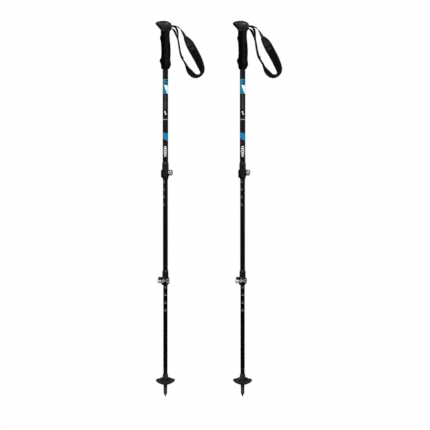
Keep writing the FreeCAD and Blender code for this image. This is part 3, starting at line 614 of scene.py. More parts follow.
# CAD piece: key of its material
PIECE_MATERIALS = {
    "grip_head": "head", "grip_cap": "cap", "grip_liner": "liner",
    "strap_wedge": "wedge", "strap_pin": "steel",
    "middle_bush": "bush", "lower_bush": "bush",
    "tip_sleeve": "tip", "tip_carbide": "carbide", "basket": "basket",
    "upper_lock_body": "clamp", "lower_lock_body": "clamp",
    "upper_lock_lever": "lever", "lower_lock_lever": "lever",
    "upper_lock_barrel": "barrel_upper", "upper_lock_nut": "nut_upper",
    "upper_lock_cam": "bright_x",
    "lower_lock_barrel": "barrel_lower", "lower_lock_nut": "nut_lower",
    "lower_lock_cam": "bright_y",
    "upper_lock_screw": "steel", "upper_lock_pivot": "steel",
    "lower_lock_screw": "steel", "lower_lock_pivot": "steel",
}


def dress_pieces(side, axis_x):
    """Gives one pole's CAD pieces their materials and smooth shading."""
    tubes = {
        "upper_tube": upper_paint(side + "_upper_paint", axis_x),
        "middle_tube": anodised(
            side + "_middle_anodised", axis_x, SCALES["middle"],
            base=(0.0016, 0.0016, 0.0017), specular=0.14,
        ),
        "lower_tube": anodised(
            side + "_lower_anodised", axis_x, SCALES["lower"],
            base=(0.0011, 0.0011, 0.0012), specular=0.08,
        ),
    }
    looks = {piece: MATERIALS[key] for piece, key in PIECE_MATERIALS.items()} | tubes
    for piece, material in looks.items():
        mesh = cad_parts[side + "_" + piece].data
        mesh.materials.clear()
        mesh.materials.append(material)
        mesh.polygons.foreach_set("use_smooth", [True] * len(mesh.polygons))


for side, axis_x in SIDES:
    dress_pieces(side, axis_x)


# ---------------------------------------------------------------- mesh helpers
def new_mesh(name, verts, faces, uvs=None):
    """A smooth-shaded mesh, with one UV per vertex if given."""
    mesh = bpy.data.meshes.new(name)
    mesh.from_pydata([tuple(map(float, vert)) for vert in verts], [], faces)
    if uvs is not None:
        layer = mesh.uv_layers.new(name="UVMap")
        corners = np.zeros(len(mesh.loops), dtype=np.int32)
        mesh.loops.foreach_get("vertex_index", corners)
        layer.data.foreach_set("uv", np.asarray(uvs, dtype=np.float32)[corners].ravel())
    mesh.polygons.foreach_set("use_smooth", [True] * len(mesh.polygons))
    mesh.update()
    return mesh


def link(mesh, name):
    obj = bpy.data.objects.new(name, mesh)
    scene.collection.objects.link(obj)
    return obj


def tube_faces(rings, sides):
    """Quads of an open-ended tube of closed rings."""
    faces = []
    for j in range(rings - 1):
        low, high = j * sides, (j + 1) * sides
        for i in range(sides):
            k = (i + 1) % sides
            faces.append((low + i, low + k, high + k, high + i))
    return faces


def fix_normals(mesh):
    work = bmesh.new()
    work.from_mesh(mesh)
    bmesh.ops.recalc_face_normals(work, faces=work.faces)
    work.to_mesh(mesh)
    work.free()
    mesh.update()


def join_parts(name, parts, material):
    """Joins (verts, faces, uvs) parts into one mesh. Parts without UVs get zeros."""
    verts, faces, uvs, base = [], [], [], 0
    for part_verts, part_faces, part_uvs in parts:
        verts.append(part_verts)
        faces += [tuple(i + base for i in face) for face in part_faces]
        uvs.append(np.zeros((len(part_verts), 2)) if part_uvs is None else part_uvs)
        base += len(part_verts)
    mesh = new_mesh(name, np.concatenate(verts), faces, np.concatenate(uvs))
    mesh.materials.append(material)
    fix_normals(mesh)
    return mesh


def smooth_curve(rows, count):
    """Catmull-Rom through the rows, resampled evenly by distance in the first two columns.

    Returns the samples and the curve's length."""
    steps = 24
    knots = np.asarray(rows, float)
    knots = np.vstack([2 * knots[0] - knots[1], knots, 2 * knots[-1] - knots[-2]])
    dense = []
    for i in range(len(knots) - 3):
        p0, p1, p2, p3 = knots[i:i + 4]
        for step in range(steps):
            t = step / steps
            square = (2 * p0 - 5 * p1 + 4 * p2 - p3) * t * t
            cube = (-p0 + 3 * p1 - 3 * p2 + p3) * t ** 3
            dense.append(0.5 * ((2 * p1) + (-p0 + p2) * t + square + cube))
    dense.append(knots[-2])
    dense = np.array(dense)
    gaps = np.linalg.norm(np.diff(dense[:, :2], axis=0), axis=1)
    travel = np.concatenate([[0], np.cumsum(gaps)])
    even = np.linspace(0, travel[-1], count)
    samples = [np.interp(even, travel, column) for column in dense.T]
    return np.stack(samples, axis=1), travel[-1]


def squarish(wave, power):
    """A cosine or sine bent towards a square wave by a power below 1."""
    return np.sign(wave) * np.abs(wave) ** power


class Run:
    """A strap's stations in mm: centres, and unit directions across it and out of its face."""

    def __init__(self, centre, across, out):
        self.centre = centre
        self.across = across
        self.out = out

    def at(self, i, across, out):
        return self.centre[i] + self.across[i] * across + self.out[i] * out

    def moved(self, span, across, out):
        """The stations in the span, shifted by one number or by one per station."""
        across, out = np.reshape(across, (-1, 1)), np.reshape(out, (-1, 1))
        return Run(self.at(span, across, out), self.across[span], self.out[span])


def run_along(path, turns):
    """The Run of an (x, z) path. A turn of 90 degrees lays the width along Y."""
    tangent = np.gradient(path, axis=0)
    tangent /= np.linalg.norm(tangent, axis=1)[:, None]
    zeros = np.zeros(len(path))
    forward = np.stack([tangent[:, 0], zeros, tangent[:, 1]], axis=1)
    y_axis = np.array([0.0, 1.0, 0.0])
    side = np.cross(y_axis, forward)
    side /= np.linalg.norm(side, axis=1)[:, None]
    angle = np.radians(turns)[:, None]
    across = side * np.cos(angle) + y_axis * np.sin(angle)
    out = np.cross(forward, across)
    out /= np.linalg.norm(out, axis=1)[:, None]
    return Run(np.stack([path[:, 0], zeros, path[:, 1]], axis=1), across, out)


def sweep(run, outline, length):
    """Sweeps closed outlines, one per station as (across, out) points, with capped ends.

    UVs are metres across and along."""
    stations, sides = outline.shape[:2]
    points = (
        run.centre[:, None, :] + outline[:, :, 0:1] * run.across[:, None, :]
        + outline[:, :, 1:2] * run.out[:, None, :]
    )
    ends = np.array([points[0].mean(0), points[-1].mean(0)])
    verts = np.concatenate([(points * MM).reshape(-1, 3), ends * MM])
    along = np.linspace(0, length, stations) * MM
    uvs = np.stack([outline[:, :, 0] * MM, np.repeat(along[:, None], sides, axis=1)], axis=2)
    uvs = np.concatenate([uvs.reshape(-1, 2), [[0, 0]], [[0, along[-1]]]])
    faces = tube_faces(stations, sides)
    first, last, ring = stations * sides, stations * sides + 1, (stations - 1) * sides
    faces += [(first, (i + 1) % sides, i) for i in range(sides)]
    faces += [(last, ring + i, ring + (i + 1) % sides) for i in range(sides)]
    return verts, faces, uvs


def oval(stations, sides, half_width, half_depth, width_power=1, depth_power=1):
    """Outlines for sweep. half_width is one number or one per station."""
    angle = 2 * math.pi * np.arange(sides) / sides
    outline = np.zeros((stations, sides, 2))
    width = np.reshape(half_width, (-1, 1))
    outline[:, :, 0] = width * squarish(np.cos(angle), width_power)
    outline[:, :, 1] = half_depth * squarish(np.sin(angle), depth_power)
    return outline


# Rings of a stitch: share of its length, share of its radius, lift in radii
STITCH_RINGS = (
    (0.0, 0.15, -0.5), (0.12, 0.8, 0.1), (0.35, 1.0, 0.5),
    (0.65, 1.0, 0.5), (0.88, 0.8, 0.1), (1.0, 0.15, -0.5),
)


def stitch(start, end, radius, up, sides):
    """A short bowed thread from start to end."""
    along = end - start
    length = np.linalg.norm(along)
    along = along / length
    side = np.cross(along, up)
    side /= np.linalg.norm(side)
    up = np.cross(side, along)
    verts = []
    for share, swell, lift in STITCH_RINGS:
        centre = start + along * length * share + up * radius * lift
        for i in range(sides):
            angle = 2 * math.pi * i / sides
            spoke = side * math.cos(angle) + up * math.sin(angle)
            verts.append(centre + spoke * radius * swell)
    rings = len(STITCH_RINGS)
    faces = tube_faces(rings, sides)
    faces += [tuple(range(sides))[::-1], tuple(range((rings - 1) * sides, rings * sides))]
    return np.array(verts) * MM, faces, None


# ---------------------------------------------------------------- grip foam
# z, x of the finger side, x of the palm side, half width in y
FOAM = [
    (1070.3, -12.9, 11.6, 11.9), (1073.2, -13.7, 13.6, 12.4), (1077.0, -14.3, 15.6, 13.0),
    (1081.5, -14.7, 17.6, 13.4), (1085.0, -15.2, 18.4, 13.6), (1089.5, -16.6, 18.0, 13.6),
    (1094.5, -18.6, 17.2, 13.6), (1098.2, -19.2, 16.7, 13.5), (1101.5, -17.8, 16.5, 13.4),
    (1106.0, -15.2, 16.5, 13.4), (1112.0, -14.1, 16.8, 13.4), (1120.0, -13.7, 17.2, 13.4),
    (1132.0, -13.8, 17.4, 13.5), (1145.0, -14.3, 16.6, 13.6), (1156.0, -14.9, 15.7, 13.6),
    (1163.0, -15.9, 14.9, 13.6), (1168.5, -17.6, 14.4, 13.6), (1172.0, -18.0, 14.2, 13.6),
    (1175.5, -17.2, 14.0, 13.5), (1180.0, -15.6, 13.9, 13.4), (1186.0, -15.3, 14.2, 13.4),
    (1192.9, -15.3, 14.9, 13.5),
]
FOAM_BOTTOM, FOAM_TOP = 1070.35, 1192.85
FOAM_BORE = 10.56
FOAM_RINGS, FOAM_SIDES = 300, 168
FOAM_SQUARENESS = 2.3  # superellipse exponent of the section
# Beads round the grip, under the head and above the bottom lip: z, depth, half width
FOAM_BEADS = ((1188.0, -0.55, 0.8), (1076.0, -0.5, 0.7))


def unit(value):
    return np.clip(value, 0, 1)


def window(value, lo, hi, fade):
    """1 between lo and hi, falling to 0 at both over the fade length."""
    return unit((value - lo) / fade) * unit((hi - value) / fade)


def grooves(phase, half):
    """V grooves, one per whole step of phase."""
    return unit(1 - np.abs((phase % 1.0) - 0.5) / half)


def roundover(inset, radius):
    """How far a rounded end falls back, 1 at the very end."""
    return 1 - np.sqrt(1 - (1 - unit(inset / radius)) ** 2)


def foam_relief(z, angle):
    """Offset of the foam's skin along its outward direction, in mm."""
    cos, sin = np.cos(angle)[None, :], np.sin(angle)[None, :]
    # chevron grooves on the two flanks
    flanks = unit((np.abs(sin) - 0.45) / 0.25)
    phase = (z - 1100 + np.abs(cos * 12.0) * 0.9) / 5.2
    relief = -0.55 * grooves(phase, half=0.14) * flanks * window(z, 1108, 1160, fade=5)
    # ribs across the finger side, between the bumps
    fingers = unit((-cos - 0.55) / 0.25)
    ribs = grooves((z - 1110) / 4.3, half=0.16)
    relief += -0.40 * ribs * fingers * window(z, 1112, 1158, fade=4)
    # wider ribs across the palm side
    palm = unit((cos - 0.75) / 0.15)
    ribs = grooves((z - 1096) / 6.5, half=0.12)
    relief += -0.35 * ribs * palm * window(z, 1098, 1176, fade=4)
    for middle, depth, half in FOAM_BEADS:
        relief += depth * np.exp(-(((z - middle) / half) ** 2))
    relief += -1.12 * roundover(z - FOAM_BOTTOM, 2.2) - 0.8 * roundover(FOAM_TOP - z, 1.2)
    # slow hand-made unevenness
    return relief + 0.10 * np.sin(z * 0.21 + 3 * cos) * np.sin(2 * angle)[None, :]


def foam_mesh():
    rings, sides = FOAM_RINGS, FOAM_SIDES
    heights = np.linspace(FOAM_BOTTOM, FOAM_TOP, rings)
    dense, _ = smooth_curve(FOAM, 900)
    dense = dense[np.argsort(dense[:, 0])]
    finger_x, palm_x, half_y = (
        np.interp(heights, dense[:, 0], dense[:, i])[:, None] for i in (1, 2, 3)
    )
    angle = np.linspace(0, 2 * math.pi, sides, endpoint=False)
    power = 2.0 / FOAM_SQUARENESS
    offset_x = (palm_x - finger_x) / 2 * squarish(np.cos(angle), power)
    x = (finger_x + palm_x) / 2 + offset_x
    y = half_y * squarish(np.sin(angle), power)[None, :]
    z = np.repeat(heights[:, None], sides, axis=1)
    reach = np.hypot(offset_x, y)
    outward_x, outward_y = offset_x / reach, y / reach
    relief = foam_relief(z, angle)
    skin = np.stack([x + outward_x * relief, y + outward_y * relief, z], axis=2).reshape(-1, 3)
    bore = [
        (FOAM_BORE * math.cos(a), FOAM_BORE * math.sin(a), end)
        for end in (FOAM_BOTTOM, FOAM_TOP) for a in angle
    ]
    # the two end rings and the bore's wall close the tube
    faces = tube_faces(rings, sides)
    low, high, top = rings * sides, (rings + 1) * sides, (rings - 1) * sides
    for i in range(sides):
        j = (i + 1) % sides
        faces.append((i, low + i, low + j, j))
        faces.append((top + i, top + j, high + j, high + i))
        faces.append((low + i, high + i, high + j, low + j))
    verts = np.concatenate([skin, np.array(bore)])
    mesh = new_mesh("grip_foam_detail", verts * MM, faces)
    mesh.materials.append(MATERIALS["foam"])
    fix_normals(mesh)
    return mesh


# ---------------------------------------------------------------- strap webbing
TAPE_WIDTH, TAPE_THICKNESS, SELVEDGE = 12.0, 1.4, 0.10
TAPE_POINTS = 9  # across each face of the section
PIN_X, PIN_Z, PIN_RADIUS, PIN_GAP = 15.0, 1207.0, 1.6, 0.15
BIGHT_RADIUS = PIN_RADIUS + PIN_GAP + TAPE_THICKNESS / 2
BIGHT_START, BIGHT_END, BIGHT_STEPS = 62, 290, 14  # degrees about the pin

# Strands: x, z and the turn of the width about the run (90 lies along Y).
# From the padded band up to the pin
OUTER = [
    (67.4, 1170.2, 37), (63.7, 1176.4, 38), (60.9, 1182.2, 42), (57.7, 1188.4, 51),
    (53.2, 1195.6, 66), (48.4, 1201.8, 82), (44.0, 1205.3, 90), (39.5, 1207.7, 90),
    (34.6, 1209.7, 90), (29.6, 1210.9, 90), (22.6, 1211.2, 90), (18.6, 1210.2, 90),
]
# From the pin down to the band's other end
LOWER = [
    (17.6, 1203.2, 90), (20.2, 1201.8, 90), (23.2, 1200.2, 88), (27.2, 1197.2, 68),
    (30.8, 1192.2, 60), (33.4, 1186.6, 62), (35.8, 1180.4, 67), (38.2, 1173.4, 75),
    (40.2, 1165.8, 79), (42.0, 1157.6, 78), (43.4, 1148.6, 74), (45.0, 1138.6, 73),
    (46.8, 1128.6, 73), (48.8, 1119.4, 71), (51.8, 1110.8, 67), (55.6, 1103.6, 68),
    (59.6, 1097.4, 71), (62.9, 1091.8, 68), (65.8, 1087.4, 66), (69.4, 1080.0, 62),
]
# The tail, beside the lower strand
TAIL = [
    (19.4, 1209.3, 90), (21.6, 1208.9, 90), (28.0, 1208.0, 88), (32.4, 1206.0, 80),
    (35.8, 1202.2, 68), (38.2, 1197.0, 60), (39.8, 1191.0, 63), (40.8, 1184.4, 68),
    (41.4, 1176.4, 76), (42.2, 1167.0, 79), (43.8, 1157.6, 78), (45.2, 1148.2, 74),
    (46.8, 1138.2, 73), (48.6, 1128.2, 73), (50.7, 1118.8, 71), (53.6, 1110.8, 67),
    (58.0, 1104.4, 68),
]
JOINT_LENGTH, JOINT_THREAD = 13.0, 0.26


def tape_outline():
    """A flat woven tape's section: rounded edges with a slightly raised selvedge."""
    half = TAPE_THICKNESS / 2
    flat = TAPE_WIDTH / 2 - half
    points = []
    for i in range(TAPE_POINTS):
        share = -1 + 2 * i / (TAPE_POINTS - 1)
        points.append((share * flat, half + SELVEDGE * (abs(share) > 0.8)))
    for i in range(1, 4):
        angle = math.pi / 2 - math.pi * i / 4
        points.append((flat + half * math.cos(angle), half * math.sin(angle)))
    return np.array(points + [(-x, -y) for x, y in points])


def tape(points, count):
    """Sweeps a strand. Returns the part, its run and its length."""
    samples, length = smooth_curve(points, count)
    run = run_along(samples[:, :2], np.clip(samples[:, 2], 30.0, 90.0))
    outlines = np.repeat(tape_outline()[None], count, axis=0)
    return sweep(run, outlines, length), run, length


def joint_stitches(run, length):
    """A crossed box of stitches where the tail is sewn down."""
    last = len(run.centre) - 3
    first = int(len(run.centre) * (1 - JOINT_LENGTH / length))
    stitches = []

    def sew(i, j, across_i, across_j, lift):
        start, end = run.at(i, across_i, lift), run.at(j, across_j, lift)
        stitches.append(stitch(start, end, JOINT_THREAD, run.out[i], sides=6))

    for across in (-4.4, 4.4):
        for i in range(first, last - 6, 5):
            sew(i, i + 4, across, across, lift=0.85)
    for i in (first, last - 3):
        for across in np.arange(-4.4, 4.0, 2.2):
            sew(i, i, across, across + 1.8, lift=0.85)
    for k in range(5):
        start, end = k / 5, (k + 0.8) / 5
        for sign in (1, -1):
            i, j = (int(first + (last - first) * share) for share in (start, end))
            sew(i, j, sign * (-4.2 + 8.4 * start), sign * (-4.2 + 8.4 * end), lift=0.86)
    return join_parts("strap_joint_stitches", stitches, MATERIALS["thread"])


def webbing_meshes():
    """The webbing, looped round the pin, and the stitches of its joint."""
    bight = []
    for i in range(1, BIGHT_STEPS + 1):
        angle = math.radians(BIGHT_START + (BIGHT_END - BIGHT_START) * i / BIGHT_STEPS)
        x = PIN_X + BIGHT_RADIUS * math.cos(angle)
        bight.append((x, PIN_Z + BIGHT_RADIUS * math.sin(angle), 90))
    loop, _, _ = tape(OUTER + bight + LOWER, 460)
    tail, run, length = tape(TAIL, 230)
    webbing_loop = join_parts("strap_webbing_detail", [loop, tail], MATERIALS["web"])
    return webbing_loop, joint_stitches(run, length)


# ---------------------------------------------------------------- padded band
# x, z, width, thickness, turn of the width
PAD = [
    (64.4, 1175.2, 13.2, 1.9, 38.0), (68.0, 1169.0, 19.0, 3.0, 36.0),
    (74.0, 1160.7, 23.6, 3.6, 18.0), (80.0, 1151.4, 27.0, 3.6, 4.0),
    (87.2, 1138.0, 28.4, 3.6, 0.0), (94.8, 1124.4, 28.2, 3.6, 0.0),
    (102.2, 1111.0, 27.2, 3.6, 2.0), (108.4, 1098.4, 26.4, 3.6, 12.0),
    (113.6, 1086.1, 26.0, 3.6, 27.0), (118.0, 1075.0, 26.0, 3.6, 41.0),
    (120.3, 1064.6, 26.0, 3.6, 53.0), (118.8, 1056.0, 26.0, 3.6, 63.0),
    (114.0, 1050.6, 26.0, 3.6, 64.0), (108.4, 1047.8, 26.0, 3.6, 58.0),
    (101.4, 1046.8, 26.0, 3.6, 52.0), (93.6, 1048.6, 26.0, 3.6, 47.0),
    (86.2, 1054.4, 26.0, 3.6, 42.0), (79.4, 1062.1, 25.0, 3.6, 43.0),
    (74.2, 1070.2, 22.0, 3.2, 51.0), (69.6, 1079.2, 18.0, 2.6, 60.0),
    (65.8, 1087.4, 14.0, 2.2, 66.0),
]
PAD_STATIONS, PAD_COLUMNS = 190, 15
PUFF_FRAMES = 20
PUFF_LIMIT = 0.0011  # farthest the simulation may move a point, in metres
BINDING_HALF_WIDTH, BINDING_HALF_DEPTH = 1.75, 1.15
STITCH_PITCH, STITCH_LENGTH, BAND_THREAD = 3.1, 2.2, 0.20
TAB_LENGTH, TAB_MARGIN, TAB_MAX_LIFT = 37.0, 3.9, 2.25
# Bars of the woven label: place across the band, start and end along it, width
LABEL_BARS = (
    (-5.4, 40.0, 51.0, 0.9), (-2.4, 41.0, 50.0, 0.7), (0.6, 40.0, 52.5, 0.9),
    (3.6, 42.0, 48.5, 0.7), (6.2, 40.5, 51.0, 0.6),
)

pad_samples, pad_length = smooth_curve(PAD, PAD_STATIONS)
pad_run = run_along(pad_samples[:, :2], pad_samples[:, 4])
pad_width, pad_thickness = pad_samples[:, 2], pad_samples[:, 3]


def pad_shell():
    """Two skins joined at the borders, as a closed mesh."""
    rows, columns = PAD_STATIONS, PAD_COLUMNS
    shares = np.linspace(-1, 1, columns)
    half_width = pad_width / 2 - 0.9
    swell = 1 - np.abs(shares) ** 4
    second_skin_u = 0.5
    verts, uvs = [], []
    for sign in (1, -1):
        for j in range(rows):
            for i in range(columns):
                lift = sign * (0.42 + (pad_thickness[j] / 2 - 0.95) * swell[i])
                across = pad_run.across[j] * half_width[j] * shares[i]
                verts.append(pad_run.centre[j] + across + pad_run.out[j] * lift)
                along = pad_length * j / (rows - 1) * MM + (second_skin_u if sign < 0 else 0)
                uvs.append((half_width[j] * shares[i] * MM, along))
    faces = []
    under = rows * columns  # index offset of the second skin
    for j in range(rows - 1):
        for i in range(columns - 1):
            a = j * columns + i
            b, c, d = a + 1, a + columns + 1, a + columns
            faces.append((a, b, c, d))
            faces.append((under + a, under + d, under + c, under + b))
    for j in range(rows - 1):
        a, b = j * columns, (j + 1) * columns
        faces.append((a, b, under + b, under + a))
        a, b = a + columns - 1, b + columns - 1
        faces.append((b, a, under + a, under + b))
    for i in range(columns - 1):
        faces.append((i + 1, i, under + i, under + i + 1))
        a = (rows - 1) * columns + i
        faces.append((a, a + 1, under + a + 1, under + a))
    mesh = new_mesh("strap_pad_detail", np.array(verts) * MM, faces, np.array(uvs))
    mesh.materials.append(MATERIALS["pad"])
    fix_normals(mesh)
    return mesh


def puff(obj):
    """Inflates the pad with a short cloth simulation, its borders sewn down."""
    mesh = obj.data
    rest = np.array([vert.co[:] for vert in mesh.vertices])
    sewn = []
    for k in range(2 * PAD_STATIONS * PAD_COLUMNS):
        j, i = divmod(k % (PAD_STATIONS * PAD_COLUMNS), PAD_COLUMNS)
        if i in (0, PAD_COLUMNS - 1) or j in (0, PAD_STATIONS - 1):
            sewn.append(k)
    obj.vertex_groups.new(name="pin").add(sewn, 1.0, "REPLACE")
    modifier = obj.modifiers.new("Cloth", "CLOTH")
    cloth = modifier.settings
    cloth.quality = 6
    cloth.mass = 0.25
    cloth.tension_stiffness = 12
    cloth.compression_stiffness = 6
    cloth.shear_stiffness = 4
    cloth.bending_stiffness = 0.4
    cloth.use_pressure = True
    cloth.uniform_pressure_force = 4.0
    cloth.vertex_group_mass = "pin"
    cloth.pin_stiffness = 1.0
    cloth.effector_weights.gravity = 0.0
    modifier.collision_settings.use_collision = False
    modifier.point_cache.frame_start = 1
    modifier.point_cache.frame_end = PUFF_FRAMES
    for step in range(1, PUFF_FRAMES + 1):
        scene.frame_set(step)
    evaluated = obj.evaluated_get(bpy.context.evaluated_depsgraph_get())
    puffed = np.array([vert.co[:] for vert in evaluated.data.vertices])
    scene.frame_set(1)
    obj.modifiers.remove(modifier)
    # limit each point's move softly
    move = puffed - rest
    size = np.linalg.norm(move, axis=1)
    limited = PUFF_LIMIT * np.tanh(size / PUFF_LIMIT)
    factor = np.where(size > 1e-9, limited / np.maximum(size, 1e-9), 0.0)
    puffed = rest + move * factor[:, None]
    mesh.vertices.foreach_set("co", puffed.astype(np.float32).ravel())
    mesh.update()


def pad_mesh():
    obj = link(pad_shell(), "pad_sim")
    puff(obj)
    subdivision = obj.modifiers.new("s", "SUBSURF")
    subdivision.levels = subdivision.render_levels = 1
    graph = bpy.context.evaluated_depsgraph_get()
    mesh = bpy.data.meshes.new_from_object(obj.evaluated_get(graph))
    mesh.name = "strap_pad_detail"
    bpy.data.objects.remove(obj)
    mesh.polygons.foreach_set("use_smooth", [True] * len(mesh.polygons))
    return mesh


def band_stitch(start, end, up):
    return stitch(start, end, BAND_THREAD, up, sides=5)


def point_between(station, across, out):
    """A point of the band at a fractional station."""
    i = int(station)
    share = station - i
    following = pad_run.centre[min(i + 1, PAD_STATIONS - 1)]
    centre = pad_run.centre[i] * (1 - share) + following * share
    return centre + pad_run.across[i] * across + pad_run.out[i] * out


def binding_edge(edge):
    """One bound edge (-1 or 1) and the stitches beside it on both faces."""
    wander = 0.12 * np.sin(np.linspace(0, pad_length, PAD_STATIONS) * 0.55 + edge)
    place = edge * (pad_width / 2 - BINDING_HALF_WIDTH)
    outline = oval(
        PAD_STATIONS, 18, BINDING_HALF_WIDTH, BINDING_HALF_DEPTH,
        width_power=0.55, depth_power=0.55,
    )
    tape_part = sweep(pad_run.moved(slice(None), place, wander), outline, pad_length)
    margin, lift = 3, 1.22
    stitches = []
    for k in range(int((pad_length - 2 * margin) / STITCH_PITCH)):
        along = margin + k * STITCH_PITCH
        start = along / pad_length * (PAD_STATIONS - 1)
        end = (along + STITCH_LENGTH) / pad_length * (PAD_STATIONS - 1)
        i = int(start)
        across = edge * (pad_width[i] / 2 - 2.75)
        for sign in (1, -1):
            ends = (point_between(station, across, sign * lift) for station in (start, end))
            stitches.append(band_stitch(*ends, pad_run.out[i] * sign))
    return tape_part, stitches


def tab_face(sign):
    """The webbing's end widening into the band, on one face (-1 or 1), with its stitches."""
    count = int(PAD_STATIONS * TAB_LENGTH / pad_length)
    span = slice(0, count)
    share = np.linspace(0, 1, count)
    half = (pad_width[span] / 2 - TAB_MARGIN) * np.clip(0.72 + 0.3 * share, 0, 1)
    half = half * np.where(share > 0.9, 1 - 0.35 * (share - 0.9) / 0.1, 1)
    lift = np.minimum(pad_thickness[span] / 2 + 0.38, TAB_MAX_LIFT)
    outline = oval(count, 14, half, 0.42, width_power=0.25)
    tab = sweep(pad_run.moved(span, 0.0, sign * lift), outline, TAB_LENGTH)
    stitches = []

    def sew(i, j, across_i, across_j, raised):
        out = sign * (lift[i] + raised)
        start, end = pad_run.at(i, across_i, out), pad_run.at(j, across_j, out)
        stitches.append(band_stitch(start, end, pad_run.out[i] * sign))

    for edge in (-1, 1):
        for i in range(3, count - 5, 3):
            sew(i, i + 2, edge * (half[i] - 0.9), edge * (half[i + 2] - 0.9), raised=0.34)
    for row in (count - 6, count - 3):
        for across in np.arange(-half[row] + 1.4, half[row] - 2.6, 2.3):
            sew(row, row, across, across + 1.8, raised=0.36)
    return tab, stitches


def label_parts():
    """The woven label's plain bars, on the face towards -Y."""
    sign = -1 if pad_run.out[int(PAD_STATIONS * 40.0 / pad_length)][1] > 0 else 1
    parts = []
    for across, start, end, width in LABEL_BARS:
        first, last = (int(PAD_STATIONS * along / pad_length) for along in (start, end))
        span = slice(first, last)
        run = pad_run.moved(span, across, sign * (pad_thickness[span] / 2 + 0.55))
        outline = oval(last - first, 8, width * 0.5, 0.16)
        parts.append(sweep(run, outline, end - start))
    return parts


def pad_trim():
    """Bound edges, tabs, label and all their stitches, by piece name."""
    bindings, binding_stitches = zip(*(binding_edge(edge) for edge in (-1, 1)))
    tabs, tab_stitches = zip(*(tab_face(sign) for sign in (1, -1)))
    stitches = sum(binding_stitches + tab_stitches, [])
    pieces = (
        ("strap_binding", bindings, "binding"), ("strap_stitches", stitches, "thread"),
        ("strap_tab", tabs, "tab"), ("strap_label", label_parts(), "thread_light"),
    )
    return {name: join_parts(name, parts, MATERIALS[key]) for name, parts, key in pieces}


# ---------------------------------------------------------------- numbers on the tubes
def number_mesh(name, text, size, radius, turn, middle_z):
    """Raised printed digits wrapped round a tube, reading from -Y."""
    curve = bpy.data.curves.new(name, "FONT")
    curve.body = text
    curve.size = size
    curve.align_x = "CENTER"
    curve.align_y = "CENTER"
    curve.extrude = 0.02
    curve.resolution_u = 3
    obj = link(curve, name)
    graph = bpy.context.evaluated_depsgraph_get()
    mesh = bpy.data.meshes.new_from_object(obj.evaluated_get(graph))
    bpy.data.objects.remove(obj)
    flat = np.array([vert.co[:] for vert in mesh.vertices])
    clearance = 0.012
    reach = radius + clearance + flat[:, 2]
    angle = turn + flat[:, 0] / radius
    wrapped = [reach * np.sin(angle), -reach * np.cos(angle), middle_z + flat[:, 1]]
    wrapped = np.stack(wrapped, axis=1) * MM
    mesh.vertices.foreach_set("co", wrapped.astype(np.float32).ravel())
    mesh.materials.clear()
    mesh.materials.append(MATERIALS["ink"])
    mesh.update()
    return mesh


def number_meshes():
    """(piece name, mesh, tube) of every number."""
    numbers = []
    for number in NUMBERS:
        step = (number - ZERO_NUMBER) // NUMBER_STEP
        for tube, scale in SCALES.items():
            middle_z = scale["zero_z"] + MARK_PITCH * step + scale["rise"]
            mesh = number_mesh(
                f"{tube[0]}{number}", str(number), scale["size"], scale["radius"],
                scale["turn"], middle_z,
            )
            numbers.append((f"{tube}_number_{number}", mesh, tube))
    return numbers


# ---------------------------------------------------------------- place pieces
def place_piece(mesh, name, side, axis_x, body, slot, replaced=None):
    obj = link(mesh, side + "_" + name)
    obj.location = (axis_x, 0, 0)
    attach(obj, side + "_" + body)
    if replaced:
        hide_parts(side + "_" + replaced)


foam_sleeve = foam_mesh()
webbing_loop, joint = webbing_meshes()
padded_band = pad_mesh()
trim = pad_trim()
numbers = number_meshes()

for side, axis_x in SIDES:
    pole = (side, axis_x)
    place_piece(foam_sleeve, "foam_sleeve", *pole, "upper", "grip_foam", "grip_foam")
    place_piece(webbing_loop, "webbing_loop", *pole, "strap", "webbing", "strap_webbing")
    place_piece(joint, "joint_stitches", *pole, "strap", "webbing")
    place_piece(padded_band, "padded_band", *pole, "strap", "strap_padding", "strap_pad")
    for name, mesh in trim.items():
        place_piece(mesh, name, *pole, "strap", "strap_padding")
    for name, mesh, tube in numbers:
        place_piece(mesh, name, *pole, tube, tube + "_tube_anodised")

# ---------------------------------------------------------------- backdrop
# the floor lies under the tips of the fully drawn-out poles, which reach 0.123 m below
# their rest place
FLOOR_Z = -0.128
BACKDROP_REACH = 9.0  # to each side and towards -Y
BEND_START_Y, BEND_RADIUS, BEND_STEPS = 3.2, 1.2, 12
WALL_TOP_Z = 7.0


def backdrop_material():
    """Pale seamless paper: evenly white to the camera, a dim card in reflections."""
    seen_level, bounce_level = 1.0, 0.16
    net = Net("backdrop_mat")
    mottle = net.noise(net.coords(), scale=6.0)
    net.finish(
        Base_Color=mottle.mix((bounce_level * 0.96,) * 3, (bounce_level,) * 3),
        Roughness=0.9, Specular_IOR_Level=0.1,
    )
    seen = mottle.mix((seen_level * 0.997,) * 3, (seen_level,) * 3)
    emission = net.node("ShaderNodeEmission", {0: seen})
    is_camera = net.signal("ShaderNodeLightPath", output="Is Camera Ray")
    shaders = {0: is_camera, 1: net.shader.outputs[0], 2: emission.outputs[0]}
    net.put(net.output.inputs[0], net.signal("ShaderNodeMixShader", shaders))
    return net.material


